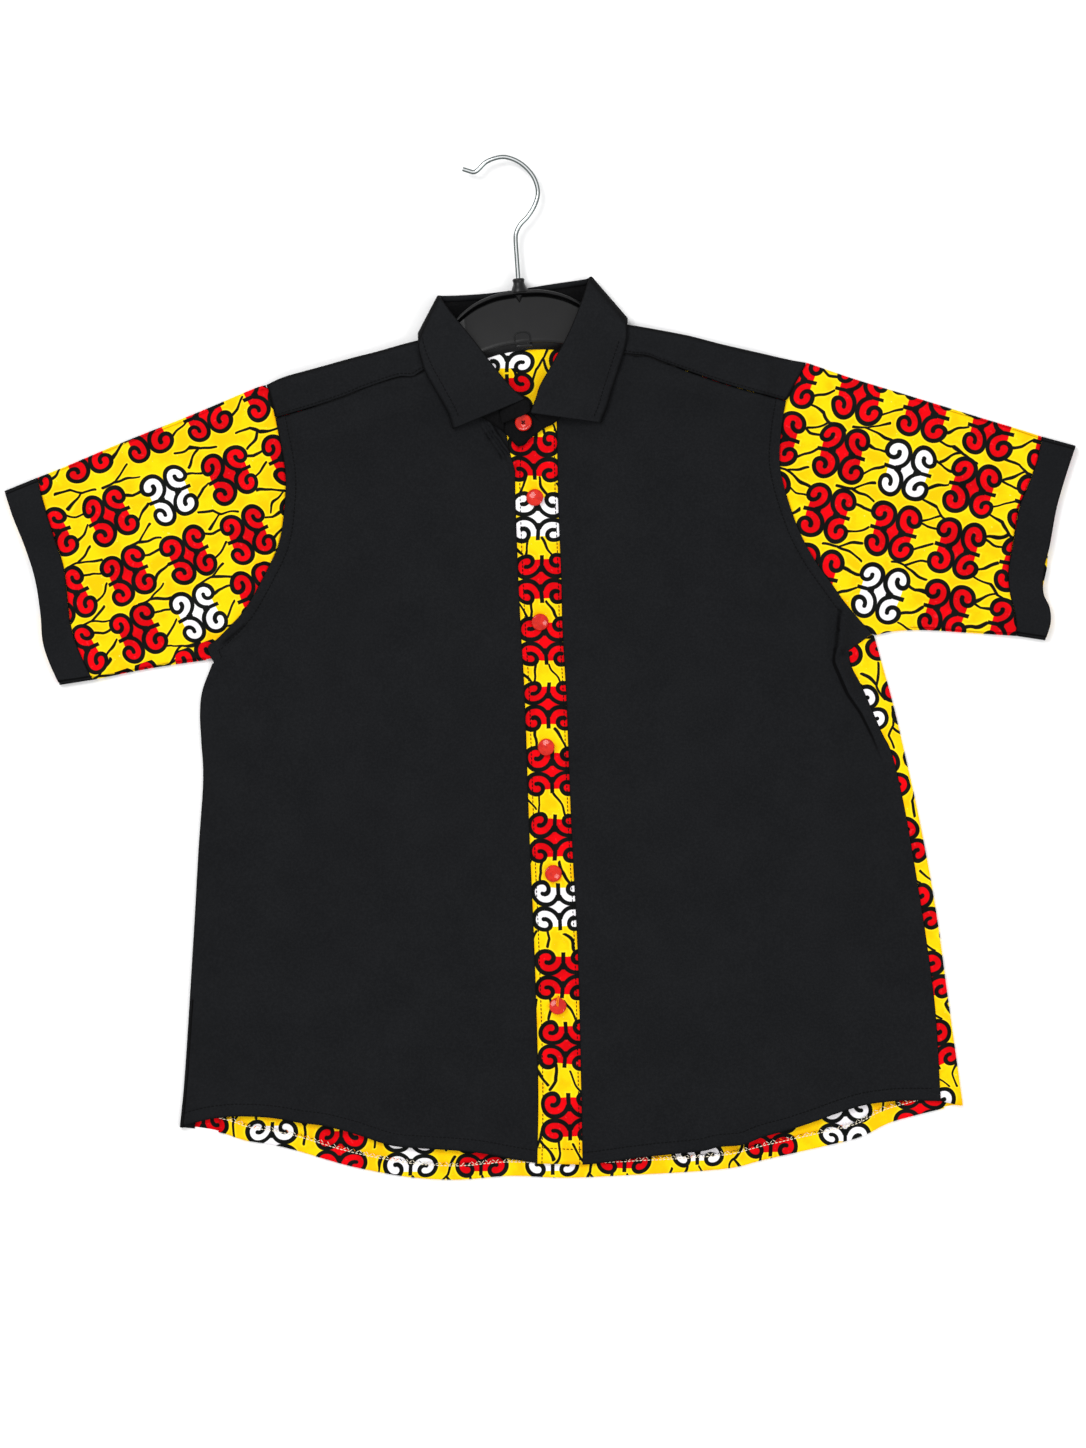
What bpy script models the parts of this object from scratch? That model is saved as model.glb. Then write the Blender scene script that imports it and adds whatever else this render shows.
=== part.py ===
"""A child's short-sleeved African print shirt on its hanger, laid flat, modelled as the solids it is sewn from.

Units are millimetres in the tables and metres in the meshes. +Z is up from the surface that the shirt lies on,
+Y runs from the hem to the collar and +X to the side on which the back panel wraps round to the front.
Each cloth piece is a wall built on the points of its outer face. The bottom layer lies on the surface, the top
layer lies on it, and both are joined by half-round folds at the sides, the shoulders and along the sleeves.
"""

import math
from collections import namedtuple

import bpy
from mathutils import Matrix, Vector

MM = 0.001
CLOTH = 1.0            # wall of one cloth layer
SEAM = 0.3             # gap between neighbouring pieces
FLAT = 3.6             # height of the flattened shirt: two layers and the air between them
CUFF_HEIGHT = 5.4      # height of a flattened cuff, which has four layers
HEM_HEIGHT = 2.3       # height of the turned-up hem of the back
HEM_WIDTH = 10.0
UNDER_STRIP = 8.0      # how far the left front reaches under the shirt, to its side seam
COLLAR_WALL = 1.2      # the fused cloth of collar and stand
SLEEVE_PUFF = 1.6      # air inside a sleeve
SLEEVE_GAP = 1.4       # from the armhole seam to the sleeve, whose spans are longer
NECK_LIFT = 1.9        # the bottom layer rises this much over the collar leaf behind the neck
FACING_INSET = 3.0

PLACKET_RISE = CLOTH + SEAM
BUTTON_RADIUS = 5.7
BUTTON_HEIGHT = 2.4
BUTTON_RIM = 1.3
BUTTON_DISH = 0.5
BUTTON_HOLE_RADIUS = 0.65
BUTTON_HOLE_SPACING = 1.25

HANGER_AXIS = (-14.0, 251.3)   # top of the hanger's neck, in plan
HANGER_TILT = math.radians(5.5)
HANGER_BOTTOM = 5.4
HANGER_TOP = 10.6
HANGER_RIM = 2.6
HANGER_WEB_TOP = 8.6
TENT_TOP = HANGER_TOP + 0.6 + CLOTH
TENT_REACH = 45.0
TENT_MARGIN = 20.0       # the top layer stays at full height this far past the hanger
BOSS_RADIUS = 3.6
BOSS_LENGTH = 9.5
WIRE_RADIUS = 1.5
HOOK_CENTRE = (-25.0, 316.0)
HOOK_RADIUS = 24.0
HOOK_START = math.radians(-68.0)
HOOK_END = math.radians(142.0)
HOOK_TIP = (-52.0, 332.0)

# half outline of the hanger in its own frame: distance from its middle, upper edge, lower edge
HangerSection = namedtuple("HangerSection", "reach upper lower")
HANGER = [HangerSection(*row) for row in (
    (0, 0.0, -35.0),
    (16, -0.8, -36.0),
    (31, -5.7, -39.5),
    (44, -14.6, -44.0),
    (52, -23.5, -47.5),
    (59, -31.0, -50.0),
    (66, -34.6, -52.0),
    (95, -43.5, -60.0),
    (120, -51.0, -67.0),
    (142, -58.5, -72.5),
    (149, -63.0, -71.5),
)]

# outlines seen from above, each from the hem or the cuff towards the neck
SIDE_LEFT = [(-240.0, -306.0), (-236.5, -268), (-231, -181), (-227.5, -120), (-224.5, -75), (-224.5, -41), (-221, -15),
             (-218.5, 2.5)]
SIDE_RIGHT = [(281.8, -291.3), (278.7, -269), (271.6, -218), (263.9, -162), (253.6, -105), (241.7, -51), (234.5, -21),
              (228, 2.3), (222.7, 21.3)]
SEAM_RIGHT = [(267, -288.5), (263.9, -233), (258.3, -187), (251.2, -141), (242.9, -93), (234.5, -57), (227.3, -42),
              (214.3, -12), (207.5, 1), (205.7, 11.5)]
ARMHOLE_LEFT = [(-218.5, 4.5), (-213, 21), (-197.7, 38), (-184.7, 60.3), (-174, 84), (-170.2, 111.5),
                (-170.2, 132.9), (-176.4, 166.2), (-182.5, 188.5)]
ARMHOLE_RIGHT = [(222.7, 21.6), (204.7, 42), (194.5, 56.3), (182.2, 73.7), (170.6, 96.9), (160.4, 131.7),
                 (160.9, 157.8), (164.0, 177.7), (177.3, 203.5)]
YOKE_LEFT = [(-176.4, 166.2), (-153.3, 172.7), (-131.5, 180), (-117, 185.7), (-102.7, 190.8), (-92.7, 193.7),
             (-84.7, 193.5), (-79.5, 197), (-73, 200)]
YOKE_RIGHT = [(164.0, 177.7), (142.6, 183.1), (122.9, 188.7), (106.9, 194.1), (90.8, 199.7), (80, 203.5),
              (71.2, 207), (63, 207.7), (50, 210)]
SHOULDER_LEFT = [(-182.5, 188.5), (-170.7, 193.7), (-147.5, 200.2), (-124.3, 206.7), (-110, 210.3), (-88, 216.4),
                 (-73, 220)]
SHOULDER_RIGHT = [(177.3, 203.5), (164.9, 205.6), (135.5, 212.2), (117.6, 216.4), (99.7, 221.1), (80, 224.9),
                  (64, 227.7), (51.5, 229.5)]
NECK_LEFT = [(-73, 200), (-66, 187), (-54, 174), (-38, 164.5), (-23.6, 156.5)]
NECK_RIGHT = [(50, 210), (44, 196), (34, 182), (22, 170.5), (9.5, 161.5)]
NECK_BACK = [(-73, 220), (-50, 216), (-12, 214.5), (28, 220), (51.5, 229.5)]
NECK_SIDE_LEFT = [(-73, 200), (-75, 208), (-73, 220)]
NECK_SIDE_RIGHT = [(50, 210), (52.5, 219), (51.5, 229.5)]
BACK_YOKE = [(-172, 146), (-90, 141), (-5, 140), (80, 145), (161, 152)]
HEM_LEFT = [(-240.0, -306), (-228.2, -302.4), (-215.9, -299.9), (-199.8, -298.7), (-177.6, -299.9), (-144.3, -305.5),
            (-104.9, -316.6), (-74, -320.3), (-43, -322.7), (-19, -327), (-1.2, -330)]
HEM_RIGHT = [(267, -288.5), (243.6, -288.3), (228, -289.5), (197, -297), (166, -307.5), (135, -317), (106.7, -321.5),
             (70, -325.7), (36, -330.3), (25, -330.7)]
HEM_BACK = [(-239.5, -306.5), (-228, -307), (-197.3, -314.5), (-160.3, -322.5), (-123.3, -332.7), (-98.7, -337.5),
            (-53.3, -341), (-19, -338.6), (16.7, -339.7), (64.3, -337.7), (106, -335.3), (148.3, -328), (190, -318.5),
            (231.7, -304), (267, -294), (281.8, -291.3)]
PLACKET_LEFT = [(-1.7, -330), (-1.1, -276.5), (-3.5, -191.3), (-7.1, -106.4), (-10, -21.3), (-12.7, 25.6),
                (-14.5, 64), (-16.1, 107.3), (-16.4, 127.7), (-14.7, 144.5)]
PLACKET_RIGHT = [(29.5, -330.7), (28.5, -276.5), (26.3, -191.3), (22, -106.4), (18.7, -21.3), (16.1, 25.6),
                 (15.1, 64), (13.3, 107.3), (12.9, 127.7), (12.3, 162)]
UNDER_LEFT = [(0.0, -329.5), (0.2, -276.5), (-2.2, -191.3), (-5.8, -106.4), (-8.7, -21.3), (-11.4, 25.6),
              (-13.2, 64), (-14.8, 107.3), (-16.5, 127.7), (-20, 141.3), (-23, 155.5)]
UNDER_RIGHT = [(25.0, -330), (24.5, -276.5), (22.3, -191.3), (18, -106.4), (14.7, -21.3), (12.1, 25.6), (11.1, 64),
               (9.3, 107.3), (8.9, 127.7), (8.6, 159.5)]
CUFF_EDGE_LEFT = [(-320, -11.3), (-327.1, 4.4), (-331.2, 18.2), (-332.7, 36.7), (-336.3, 59.5), (-343.1, 80.9),
                  (-350.8, 100), (-356.7, 118)]
CUFF_SEAM_LEFT = [(-298, -7.9), (-307.2, 12), (-312.5, 28.9), (-314.1, 42.7), (-317.1, 67.1), (-324, 88.7),
                  (-330.9, 111.5), (-334.7, 126.9)]
CUFF_EDGE_RIGHT = [(336.5, 18.4), (340, 30), (339.3, 40.4), (335.1, 50.5), (335.8, 66.5), (339.3, 81), (343.8, 105.6),
                   (349.5, 126), (356.8, 148.1)]
CUFF_SEAM_RIGHT = [(317.7, 21.3), (316.2, 36), (312.7, 50.7), (311.9, 65.1), (315.5, 86.8), (319.1, 107.1),
                   (324.9, 121.5), (330.7, 137.5), (334.3, 154.2)]
SLEEVE_LOW_LEFT = [(-298, -7.9), (-260, -0.3), (-222.3, 5.0)]
SLEEVE_TOP_LEFT = [(-334.7, 126.9), (-315.6, 134.5), (-277.3, 150.7), (-231.5, 168.9), (-191.7, 185.7),
                   (-182.5, 188.5)]
SLEEVE_LOW_RIGHT = [(317.7, 21.3), (281.3, 23.7), (256.7, 25.2), (236.5, 24.5), (222.7, 21.6)]
SLEEVE_TOP_RIGHT = [(334.3, 154.2), (317.7, 159.5), (287.3, 168.7), (245.2, 181.7), (209, 192.7), (177.3, 203.5)]
UNDERARM_LEFT = Vector((0.75, 0.66))     # from the fold into the cloth, where side and sleeve folds meet
UNDERARM_RIGHT = Vector((-0.75, 0.66))

# creases of the top layer: a straight run from start to end, its half width and its height
Fold = namedtuple("Fold", "start end half_width height")
FOLDS = [
    Fold((198, 46), (196, 8), 3.5, 1.6),
    Fold((196, 8), (212, -24), 4.5, 1.8),
    Fold((212, -24), (232, -70), 6.0, 1.3),
    Fold((-38, 158), (-25, 136), 4.0, 0.8),
    Fold((-56, 152), (-30, 112), 6.0, 0.9),
    Fold((-214, 6), (-192, 30), 4.0, 1.0),
    Fold((-220, -46), (-203, -26), 4.0, 0.9),
    Fold((-118, 183), (-72, 192), 5.0, 1.0),
    Fold((62, 205), (110, 190), 5.0, 0.9),
    Fold((-150, -190), (-120, 60), 26.0, 0.9),
    Fold((90, -210), (110, 40), 28.0, 0.9),
    Fold((190, -230), (205, -80), 20.0, 0.8),
    Fold((-262, 36), (-236, 128), 12.0, 1.0),
    Fold((228, 66), (262, 140), 12.0, 1.0),
]

# the collar's sections, from the left front end round the back to the right front end. turn is the way from the
# stand to the leaf: 90 is up, 0 out to the side and -90 down. neck, fold and edge are points of mid-cloth.
Station = namedtuple("Station", "turn neck fold edge")
COLLAR = [Station(*row) for row in (
    (90, (-20.5, 155.0, 4.4), (-9.5, 178.5, 9.0), (-56.0, 158.7, 4.9)),
    (90, (-34.0, 164.0, 5.0), (-17.5, 184.5, 10.8), (-61.0, 168.6, 5.6)),
    (90, (-50.0, 173.5, 6.4), (-30.0, 198.8, 13.2), (-68.5, 182.5, 8.0)),
    (90, (-63.0, 187.5, 8.6), (-46.0, 219.4, 15.4), (-76.0, 196.0, 11.0)),
    (90, (-70.4, 201.0, 10.8), (-60.5, 237.0, 15.8), (-79.8, 207.5, 13.0)),
    (48, (-70.6, 213.0, 12.2), (-65.8, 244.6, 14.2), (-80.6, 215.6, 13.4)),
    (0, (-68.8, 222.6, 7.0), (-67.2, 247.2, 8.6), (-80.6, 223.2, 6.8)),
    (-48, (-64.6, 222.0, 3.4), (-64.8, 247.4, 3.2), (-78.0, 219.0, 1.6)),
    (-90, (-54.0, 218.6, 2.3), (-54.0, 247.8, 1.4), (-68.0, 212.0, 0.6)),
    (-90, (-36.0, 216.2, 2.3), (-36.0, 249.0, 1.4), (-40.0, 209.0, 0.6)),
    (-90, (-12.0, 216.0, 2.3), (-14.0, 251.8, 1.4), (-12.0, 209.0, 0.6)),
    (-90, (14.0, 219.0, 2.3), (10.0, 255.6, 1.4), (18.0, 212.0, 0.6)),
    (-90, (32.0, 224.4, 2.3), (24.0, 257.6, 1.4), (42.0, 218.5, 0.6)),
    (-48, (42.5, 230.5, 3.2), (31.4, 258.8, 3.2), (54.0, 229.0, 1.6)),
    (0, (46.8, 232.6, 7.0), (33.6, 259.6, 8.6), (57.6, 233.0, 6.8)),
    (48, (48.4, 225.5, 12.6), (31.8, 254.6, 14.2), (57.8, 226.0, 13.4)),
    (90, (47.6, 210.5, 10.8), (28.2, 243.6, 15.6), (57.0, 214.6, 13.0)),
    (90, (41.6, 196.6, 9.4), (19.6, 222.6, 15.4), (52.4, 198.8, 11.0)),
    (90, (31.6, 182.6, 8.0), (9.6, 203.8, 13.6), (47.0, 181.8, 8.6)),
    (90, (19.6, 171.8, 7.0), (0.8, 188.4, 12.0), (44.6, 172.0, 6.8)),
    (90, (8.6, 163.6, 6.8), (-4.4, 177.6, 11.0), (43.3, 165.3, 5.6)),
)]
FOLD_ROLL = 0.8        # radius of the mid-cloth where the leaf rolls over its fold
LEAF_INNER_LEG = 2.6   # from the fold down to the seam between leaf and stand
LEAF_CROWN = 1.6       # how far the leaf bulges between its fold and its edge
LEAF_CLEARANCE = 1.6   # from the cloth under the leaf's edge up to the middle of the leaf
# the free end of the stand over the right front, past the leaf: outer points along the neck seam and the top edge
TAB_NECK = [(-2.0, 154.8, 6.6), (-8.8, 149.6, 6.5), (-13.6, 146.0, 6.4), (-17.6, 149.0, 6.4), (-22.6, 154.6, 6.4)]
TAB_TOP = [(-6.2, 169.6, 8.6), (-10.8, 167.8, 8.2), (-14.8, 166.4, 7.8), (-18.8, 165.2, 7.4), (-22.4, 163.8, 7.0)]

BUTTONS = [(-3.3, 113.3), (-0.1, 30.7), (4.4, -52.8), (8.7, -136.8), (11.9, -225.3)]
COLLAR_BUTTON = (-10.3, 161.8)

Finish = namedtuple("Finish", "colour roughness metallic")
FINISHES = {
    "black_cotton": Finish((0.012, 0.012, 0.013), 0.85, 0.0),
    "print_cotton": Finish((0.95, 0.58, 0.01), 0.75, 0.0),
    "red_button": Finish((0.75, 0.06, 0.05), 0.25, 0.0),
    "black_plastic": Finish((0.02, 0.02, 0.022), 0.45, 0.0),
    "chromed_wire": Finish((0.75, 0.76, 0.78), 0.12, 1.0),
}


def clear_scene():
    for item in list(bpy.data.objects):
        bpy.data.objects.remove(item)


def finish(name):
    material = bpy.data.materials.get(name) or bpy.data.materials.new(name)
    material.use_nodes = True
    shader = material.node_tree.nodes["Principled BSDF"]
    look = FINISHES[name]
    shader.inputs["Base Color"].default_value = (*look.colour, 1.0)
    shader.inputs["Roughness"].default_value = look.roughness
    shader.inputs["Metallic"].default_value = look.metallic
    return material


def add_object(name, points, faces, material):
    mesh = bpy.data.meshes.new(name)
    mesh.from_pydata([Vector(p) * MM for p in points], [], faces)
    mesh.materials.append(finish(material))
    mesh.shade_smooth()
    mesh.set_sharp_from_angle(angle=math.radians(35))
    item = bpy.data.objects.new(name, mesh)
    bpy.context.scene.collection.objects.link(item)
    return item


# curves in plan

def evenly(points, count):
    """The same polyline with count spans of equal length."""
    points = [Vector(p) for p in points]
    along = [0.0]
    for a, b in zip(points, points[1:]):
        along.append(along[-1] + (b - a).length)
    result, span = [], 0
    for step in range(count + 1):
        target = along[-1] * step / count
        while span < len(points) - 2 and along[span + 1] < target:
            span += 1
        share = (target - along[span]) / max(along[span + 1] - along[span], 1e-9)
        result.append(points[span].lerp(points[span + 1], min(max(share, 0.0), 1.0)))
    return result


def smooth(points, count, fineness=12):
    """A Catmull-Rom curve through the points, in count spans of equal length."""
    p = [Vector(q) for q in points]
    p = [2 * p[0] - p[1]] + p + [2 * p[-1] - p[-2]]
    fine = []
    for i in range(1, len(p) - 2):
        a, b, c, d = p[i - 1:i + 3]
        for step in range(fineness):
            t = step / fineness
            fine.append(0.5 * (2 * b + (c - a) * t + (2 * a - 5 * b + 4 * c - d) * t * t
                               + (3 * b - a - 3 * c + d) * t * t * t))
    return evenly(fine + [p[-2]], count)


def through(points, parts):
    """A Catmull-Rom curve through the points, with each span cut into equal parts."""
    p = [Vector(q) for q in points]
    p = [2 * p[0] - p[1]] + p + [2 * p[-1] - p[-2]]
    result = []
    for i in range(1, len(p) - 2):
        a, b, c, d = p[i - 1:i + 3]
        for step in range(parts):
            t = step / parts
            result.append(0.5 * (2 * b + (c - a) * t + (2 * a - 5 * b + 4 * c - d) * t * t
                                 + (3 * b - a - 3 * c + d) * t * t * t))
    return result + [p[-2]]


def inward_normals(curve, inside, ends=(None, None)):
    """Unit vectors across the curve, towards the point inside, with given directions at its ends."""
    normals = []
    for i, point in enumerate(curve):
        along = curve[min(i + 1, len(curve) - 1)] - curve[max(i - 1, 0)]
        normal = Vector((-along.y, along.x)).normalized()
        normals.append(normal if normal.dot(Vector(inside) - point) > 0 else -normal)
    for index, given in ((0, ends[0]), (-1, ends[1])):
        if given is not None:
            normals[index] = given.normalized()
    return normals


def coons(south, north, west, east):
    """Points between four boundary curves, rows from south to north and columns from west to east."""
    rows, columns = len(west) - 1, len(south) - 1
    grid = []
    for j in range(rows + 1):
        v = j / rows
        row = []
        for i in range(columns + 1):
            u = i / columns
            ruled = (1 - v) * south[i] + v * north[i] + (1 - u) * west[j] + u * east[j]
            corners = ((1 - u) * (1 - v) * south[0] + u * (1 - v) * south[-1]
                       + (1 - u) * v * north[0] + u * v * north[-1])
            row.append(ruled - corners)
        grid.append(row)
    return grid


# heights

def step_between(value, low, high):
    t = min(max((value - low) / (high - low), 0.0), 1.0)
    return t * t * (3 - 2 * t)


def hanger_edges(reach):
    reach = abs(reach)
    for a, b in zip(HANGER, HANGER[1:]):
        if reach <= b.reach:
            share = (reach - a.reach) / (b.reach - a.reach)
            return a.upper + share * (b.upper - a.upper), a.lower + share * (b.lower - a.lower)
    return HANGER[-1].upper, HANGER[-1].lower


def hanger_local(x, y):
    dx, dy = x - HANGER_AXIS[0], y - HANGER_AXIS[1]
    c, s = math.cos(HANGER_TILT), math.sin(HANGER_TILT)
    return dx * c + dy * s, dy * c - dx * s


def hanger_plan(reach, height):
    c, s = math.cos(HANGER_TILT), math.sin(HANGER_TILT)
    return Vector((HANGER_AXIS[0] + reach * c - height * s, HANGER_AXIS[1] + reach * s + height * c))


def tent(x, y):
    """How far the hanger lifts the top layer."""
    reach, height = hanger_local(x, y)
    lower = hanger_edges(reach)[1]
    below = max(lower - height, 0.0)
    beyond = max(abs(reach) - HANGER[-1].reach, 0.0)
    away = math.hypot(below, 1.5 * beyond) - TENT_MARGIN
    share = min(max(away / TENT_REACH, 0.0), 1.0)
    return (TENT_TOP - FLAT) * (1 - share) ** 2


def creases(x, y):
    total = 0.0
    point = Vector((x, y))
    for fold in FOLDS:
        start, end = Vector(fold.start), Vector(fold.end)
        run = end - start
        share = (point - start).dot(run) / run.length_squared
        nearest = start + min(max(share, 0.0), 1.0) * run
        total += fold.height * math.exp(-((point - nearest).length / fold.half_width) ** 2)
    return total


def top(x, y):
    """Height of the outer face of the top layer."""
    return FLAT + tent(x, y) + creases(x, y)


def bottom(x, y):
    """Height of the outer face of the bottom layer, which rises over the collar leaf."""
    return NECK_LIFT * step_between(y, 180, 204) * step_between(x, -112, -86) * (1 - step_between(x, 64, 92))


def on_top(point, rise=0.0):
    return Vector((point.x, point.y, top(point.x, point.y) + rise))


def on_bottom(point, rise=0.0):
    return Vector((point.x, point.y, bottom(point.x, point.y) + rise))


def half_round(edge, normal, high, low, steps=4):
    """Points of a fold from the top layer round to the bottom layer, at one point of its outline."""
    radius = (high - low) / 2
    points = []
    for k in range(steps + 1):
        angle = math.pi / 2 - math.pi * k / steps
        plan = edge + normal * (radius - radius * math.cos(angle))
        points.append(Vector((plan.x, plan.y, low + radius + radius * math.sin(angle))))
    return points


def fold_start(edge, normal, high_at=None):
    """Where the top layer ends and its fold begins, in plan, for a fold on the surface."""
    radius = (high_at if high_at is not None else top(*(edge + normal * FLAT / 2))) / 2
    return edge + normal * radius


# walls

def wall(name, grid, material, thickness=CLOTH, present=None, closed=False, flip=False, centred=False):
    """A closed solid on a grid of outer points, with a cell left out where present says so."""
    rows, columns = len(grid), len(grid[0])
    last = columns if closed else columns - 1
    cells = [(j, i) for j in range(rows - 1) for i in range(last) if present is None or present(j, i)]
    used, normals = {}, {}

    def corner(j, i):
        return j, i % columns

    for j, i in cells:
        a, b, c, d = corner(j, i), corner(j, i + 1), corner(j + 1, i + 1), corner(j + 1, i)
        pa, pb, pc, pd = (grid[q[0]][q[1]] for q in (a, b, c, d))
        normal = (pc - pa).cross(pd - pb).normalized()
        for q in (a, b, c, d):
            normals[q] = normals.get(q, Vector((0, 0, 0))) + normal
            used.setdefault(q, len(used))
    sign = -1 if flip else 1
    outer, inner = [None] * len(used), [None] * len(used)
    for q, index in used.items():
        normal = normals[q].normalized() * sign
        point = grid[q[0]][q[1]]
        outer[index] = point + (normal * thickness / 2 if centred else Vector((0, 0, 0)))
        inner[index] = outer[index] - normal * thickness
    shift = len(used)
    edges, faces = {}, []
    for j, i in cells:
        loop = [used[q] for q in (corner(j, i), corner(j, i + 1), corner(j + 1, i + 1), corner(j + 1, i))]
        if flip:
            loop.reverse()
        for a, b in zip(loop, loop[1:] + loop[:1]):
            edges[(a, b)] = True
        for k in (0, 2):
            half = [loop[k], loop[k + 1], loop[(k + 2) % 4]]
            faces.append(half)
            faces.append([shift + q for q in reversed(half)])
    for a, b in edges:
        if (b, a) not in edges:
            faces.append([b, a, shift + a, shift + b])
    return add_object(name, outer + inner, faces, material)


def shrink(curve, toward, distance):
    """The curve moved sideways by a seam gap, towards the point toward."""
    return [p + n * distance for p, n in zip(curve, inward_normals(curve, toward))]


# the body

def side_rounds(outline, spans, corner):
    """The fold along one side of the body and the directions across it."""
    edge = smooth(outline, spans)
    normals = inward_normals(edge, (0, 0), (None, corner))
    return [half_round(p, n, top(*(p + n * FLAT / 2)), 0.0) for p, n in zip(edge, normals)], normals


def build_front_left():
    side_spans, arm_spans, across, seam_across = 11, 9, 12, 7
    rounds, normals = side_rounds(SIDE_LEFT, side_spans, UNDERARM_LEFT)
    start = [r[0].xy for r in rounds]
    arm = shrink(smooth(ARMHOLE_LEFT[:-1], arm_spans), (0, 60), SEAM)
    west = start + arm[1:]
    east = shrink(smooth(UNDER_LEFT, side_spans + arm_spans), (-300, 0), SEAM)
    south = smooth(HEM_LEFT, across)
    south[0], south[-1] = west[0], east[0]
    yoke = shrink(smooth(YOKE_LEFT, seam_across), (-100, 0), SEAM)
    neck = smooth(NECK_LEFT, across - seam_across)
    north = yoke + neck[1:]
    north[0], north[-1] = west[-1], east[-1]
    plan = coons(south, north, west, east)
    grid = []
    for j, row in enumerate(plan):
        lifted = [on_top(p) for p in row]
        if j <= side_spans:
            under = rounds[j][-1] + normals[j].to_3d() * UNDER_STRIP
            wrapped = [under] + list(reversed(rounds[j]))[:-1]
        else:
            wrapped = [lifted[0]] * 5
        grid.append(wrapped + lifted)
    wall("front_left", grid, "black_cotton",
         present=lambda j, i: i >= 5 or j < side_spans)


def build_front_right():
    seam_spans, arm_spans, across, seam_across = 11, 8, 12, 7
    seam = shrink(smooth(SEAM_RIGHT, seam_spans), (0, 0), SEAM)
    corner = side_rounds(SIDE_RIGHT, seam_spans, UNDERARM_RIGHT)[0][-1][0].xy
    armhole = [corner + Vector((0.2, 0.0))] + ARMHOLE_RIGHT[1:-1]
    arm = shrink(smooth(armhole, arm_spans), (0, 60), SEAM)
    arm[0] = corner + Vector((-0.3, 0.35))
    seam[-1] = Vector(SEAM_RIGHT[-1]) + Vector((-0.3, 0.35))
    east = seam + arm
    west = shrink(smooth(UNDER_RIGHT, seam_spans + 1 + arm_spans), (300, 0), SEAM)
    south = list(reversed(smooth(HEM_RIGHT, across)))
    south[0], south[-1] = west[0], east[0]
    yoke = shrink(smooth(YOKE_RIGHT, seam_across), (100, 0), SEAM)
    neck = smooth(NECK_RIGHT, across - seam_across)
    north = list(reversed(yoke + neck[1:]))
    north[0], north[-1] = west[-1], east[-1]
    grid = [[on_top(p) for p in row] for row in coons(south, north, west, east)]
    wall("front_right", grid, "black_cotton")


def build_back():
    side_spans, arm_spans, across, hem_steps = 11, 6, 14, 4
    left_rounds, left_normals = side_rounds(SIDE_LEFT, side_spans, UNDERARM_LEFT)
    inset = UNDER_STRIP + SEAM
    arm_left = shrink(smooth(cut_at(ARMHOLE_LEFT, BACK_YOKE[0][1]), arm_spans), (0, 60), SEAM)
    west = [r[-1].xy + n * inset for r, n in zip(left_rounds, left_normals)][:-1]
    west = west + [arm_left[0] + Vector((9.5, 6.0))] + arm_left[1:]
    rounds = side_rounds(SIDE_RIGHT, side_spans, UNDERARM_RIGHT)[0]
    arm_right = shrink(smooth(cut_at(ARMHOLE_RIGHT, BACK_YOKE[-1][1]), arm_spans), (0, 60), SEAM)
    east = [r[-1].xy for r in rounds] + arm_right[1:]
    hem_radius = HEM_HEIGHT / 2
    hem = smooth(HEM_BACK, across)
    hem_normals = inward_normals(hem, (0, 0))
    south = [p + n * hem_radius for p, n in zip(hem, hem_normals)]
    west[0] = south[0] = Vector((west[0].x, south[0].y))
    south[-1] = east[0]
    north = shrink(smooth(BACK_YOKE, across), (0, 0), SEAM)
    north[0], north[-1] = west[-1], east[-1]
    plan = coons(south, north, west, east)
    seam = smooth(SEAM_RIGHT, side_spans)
    grid = []
    for j, row in enumerate(plan):
        flat = [on_bottom(p) for p in row]
        if j <= side_spans:
            arc = list(reversed(rounds[j]))[1:]
            strip = [on_top(arc[-1].xy.lerp(seam[j], share)) for share in (0.5, 1.0)]
            wrapped = arc + strip
        else:
            wrapped = [flat[-1]] * 6
        grid.append(flat + wrapped)
    columns = len(plan[0])
    hem_rows = []
    for depth in (HEM_WIDTH, HEM_WIDTH / 2):
        hem_rows.append([Vector((*(p + n * (hem_radius + depth)), HEM_HEIGHT)) for p, n in zip(hem, hem_normals)])
    arcs = [half_round(p, n, HEM_HEIGHT, 0.0, hem_steps) for p, n in zip(hem, hem_normals)]
    for k in range(hem_steps):
        hem_rows.append([arc[k] for arc in arcs])
    pad = len(grid[0]) - columns
    grid = [row + [row[-1]] * pad for row in hem_rows] + grid
    first = len(hem_rows)
    hem_columns = (1, columns - 2)

    def present(j, i):
        if j < first:
            return hem_columns[0] <= i < hem_columns[1]
        return i < columns - 1 or j - first < side_spans

    wall("back", grid, "print_cotton", present=present, flip=True)


def cut_at(outline, height):
    """The outline as far as the given height."""
    result = [outline[0]]
    for a, b in zip(outline, outline[1:]):
        if b[1] >= height:
            share = (height - a[1]) / (b[1] - a[1])
            result.append((a[0] + share * (b[0] - a[0]), height))
            break
        result.append(b)
    return result


def beyond(outline, height):
    """The outline from the given height on."""
    lower = cut_at(outline, height)
    return [lower[-1]] + [p for p in outline if p[1] > height + 0.5]


def yoke_bottom_plan(shoulder_spans, neck_spans, rows, left_start, right_start):
    """Plan of the yoke behind the shoulders: rows from the back seam to the shoulders and the neck."""
    neck = smooth(NECK_BACK, neck_spans)
    north = left_start + neck[1:-1] + list(reversed(right_start))
    count = 2 * shoulder_spans + neck_spans
    south = shrink(smooth(BACK_YOKE, count), (0, 200), SEAM)
    west = shrink(smooth(beyond(ARMHOLE_LEFT, BACK_YOKE[0][1]), rows), (0, 60), SEAM)
    east = shrink(smooth(beyond(ARMHOLE_RIGHT, BACK_YOKE[-1][1]), rows), (0, 60), SEAM)
    west[-1], east[-1] = north[0], north[-1]
    south[0], south[-1] = west[0], east[0]
    return coons(south, north, west, east)


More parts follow.
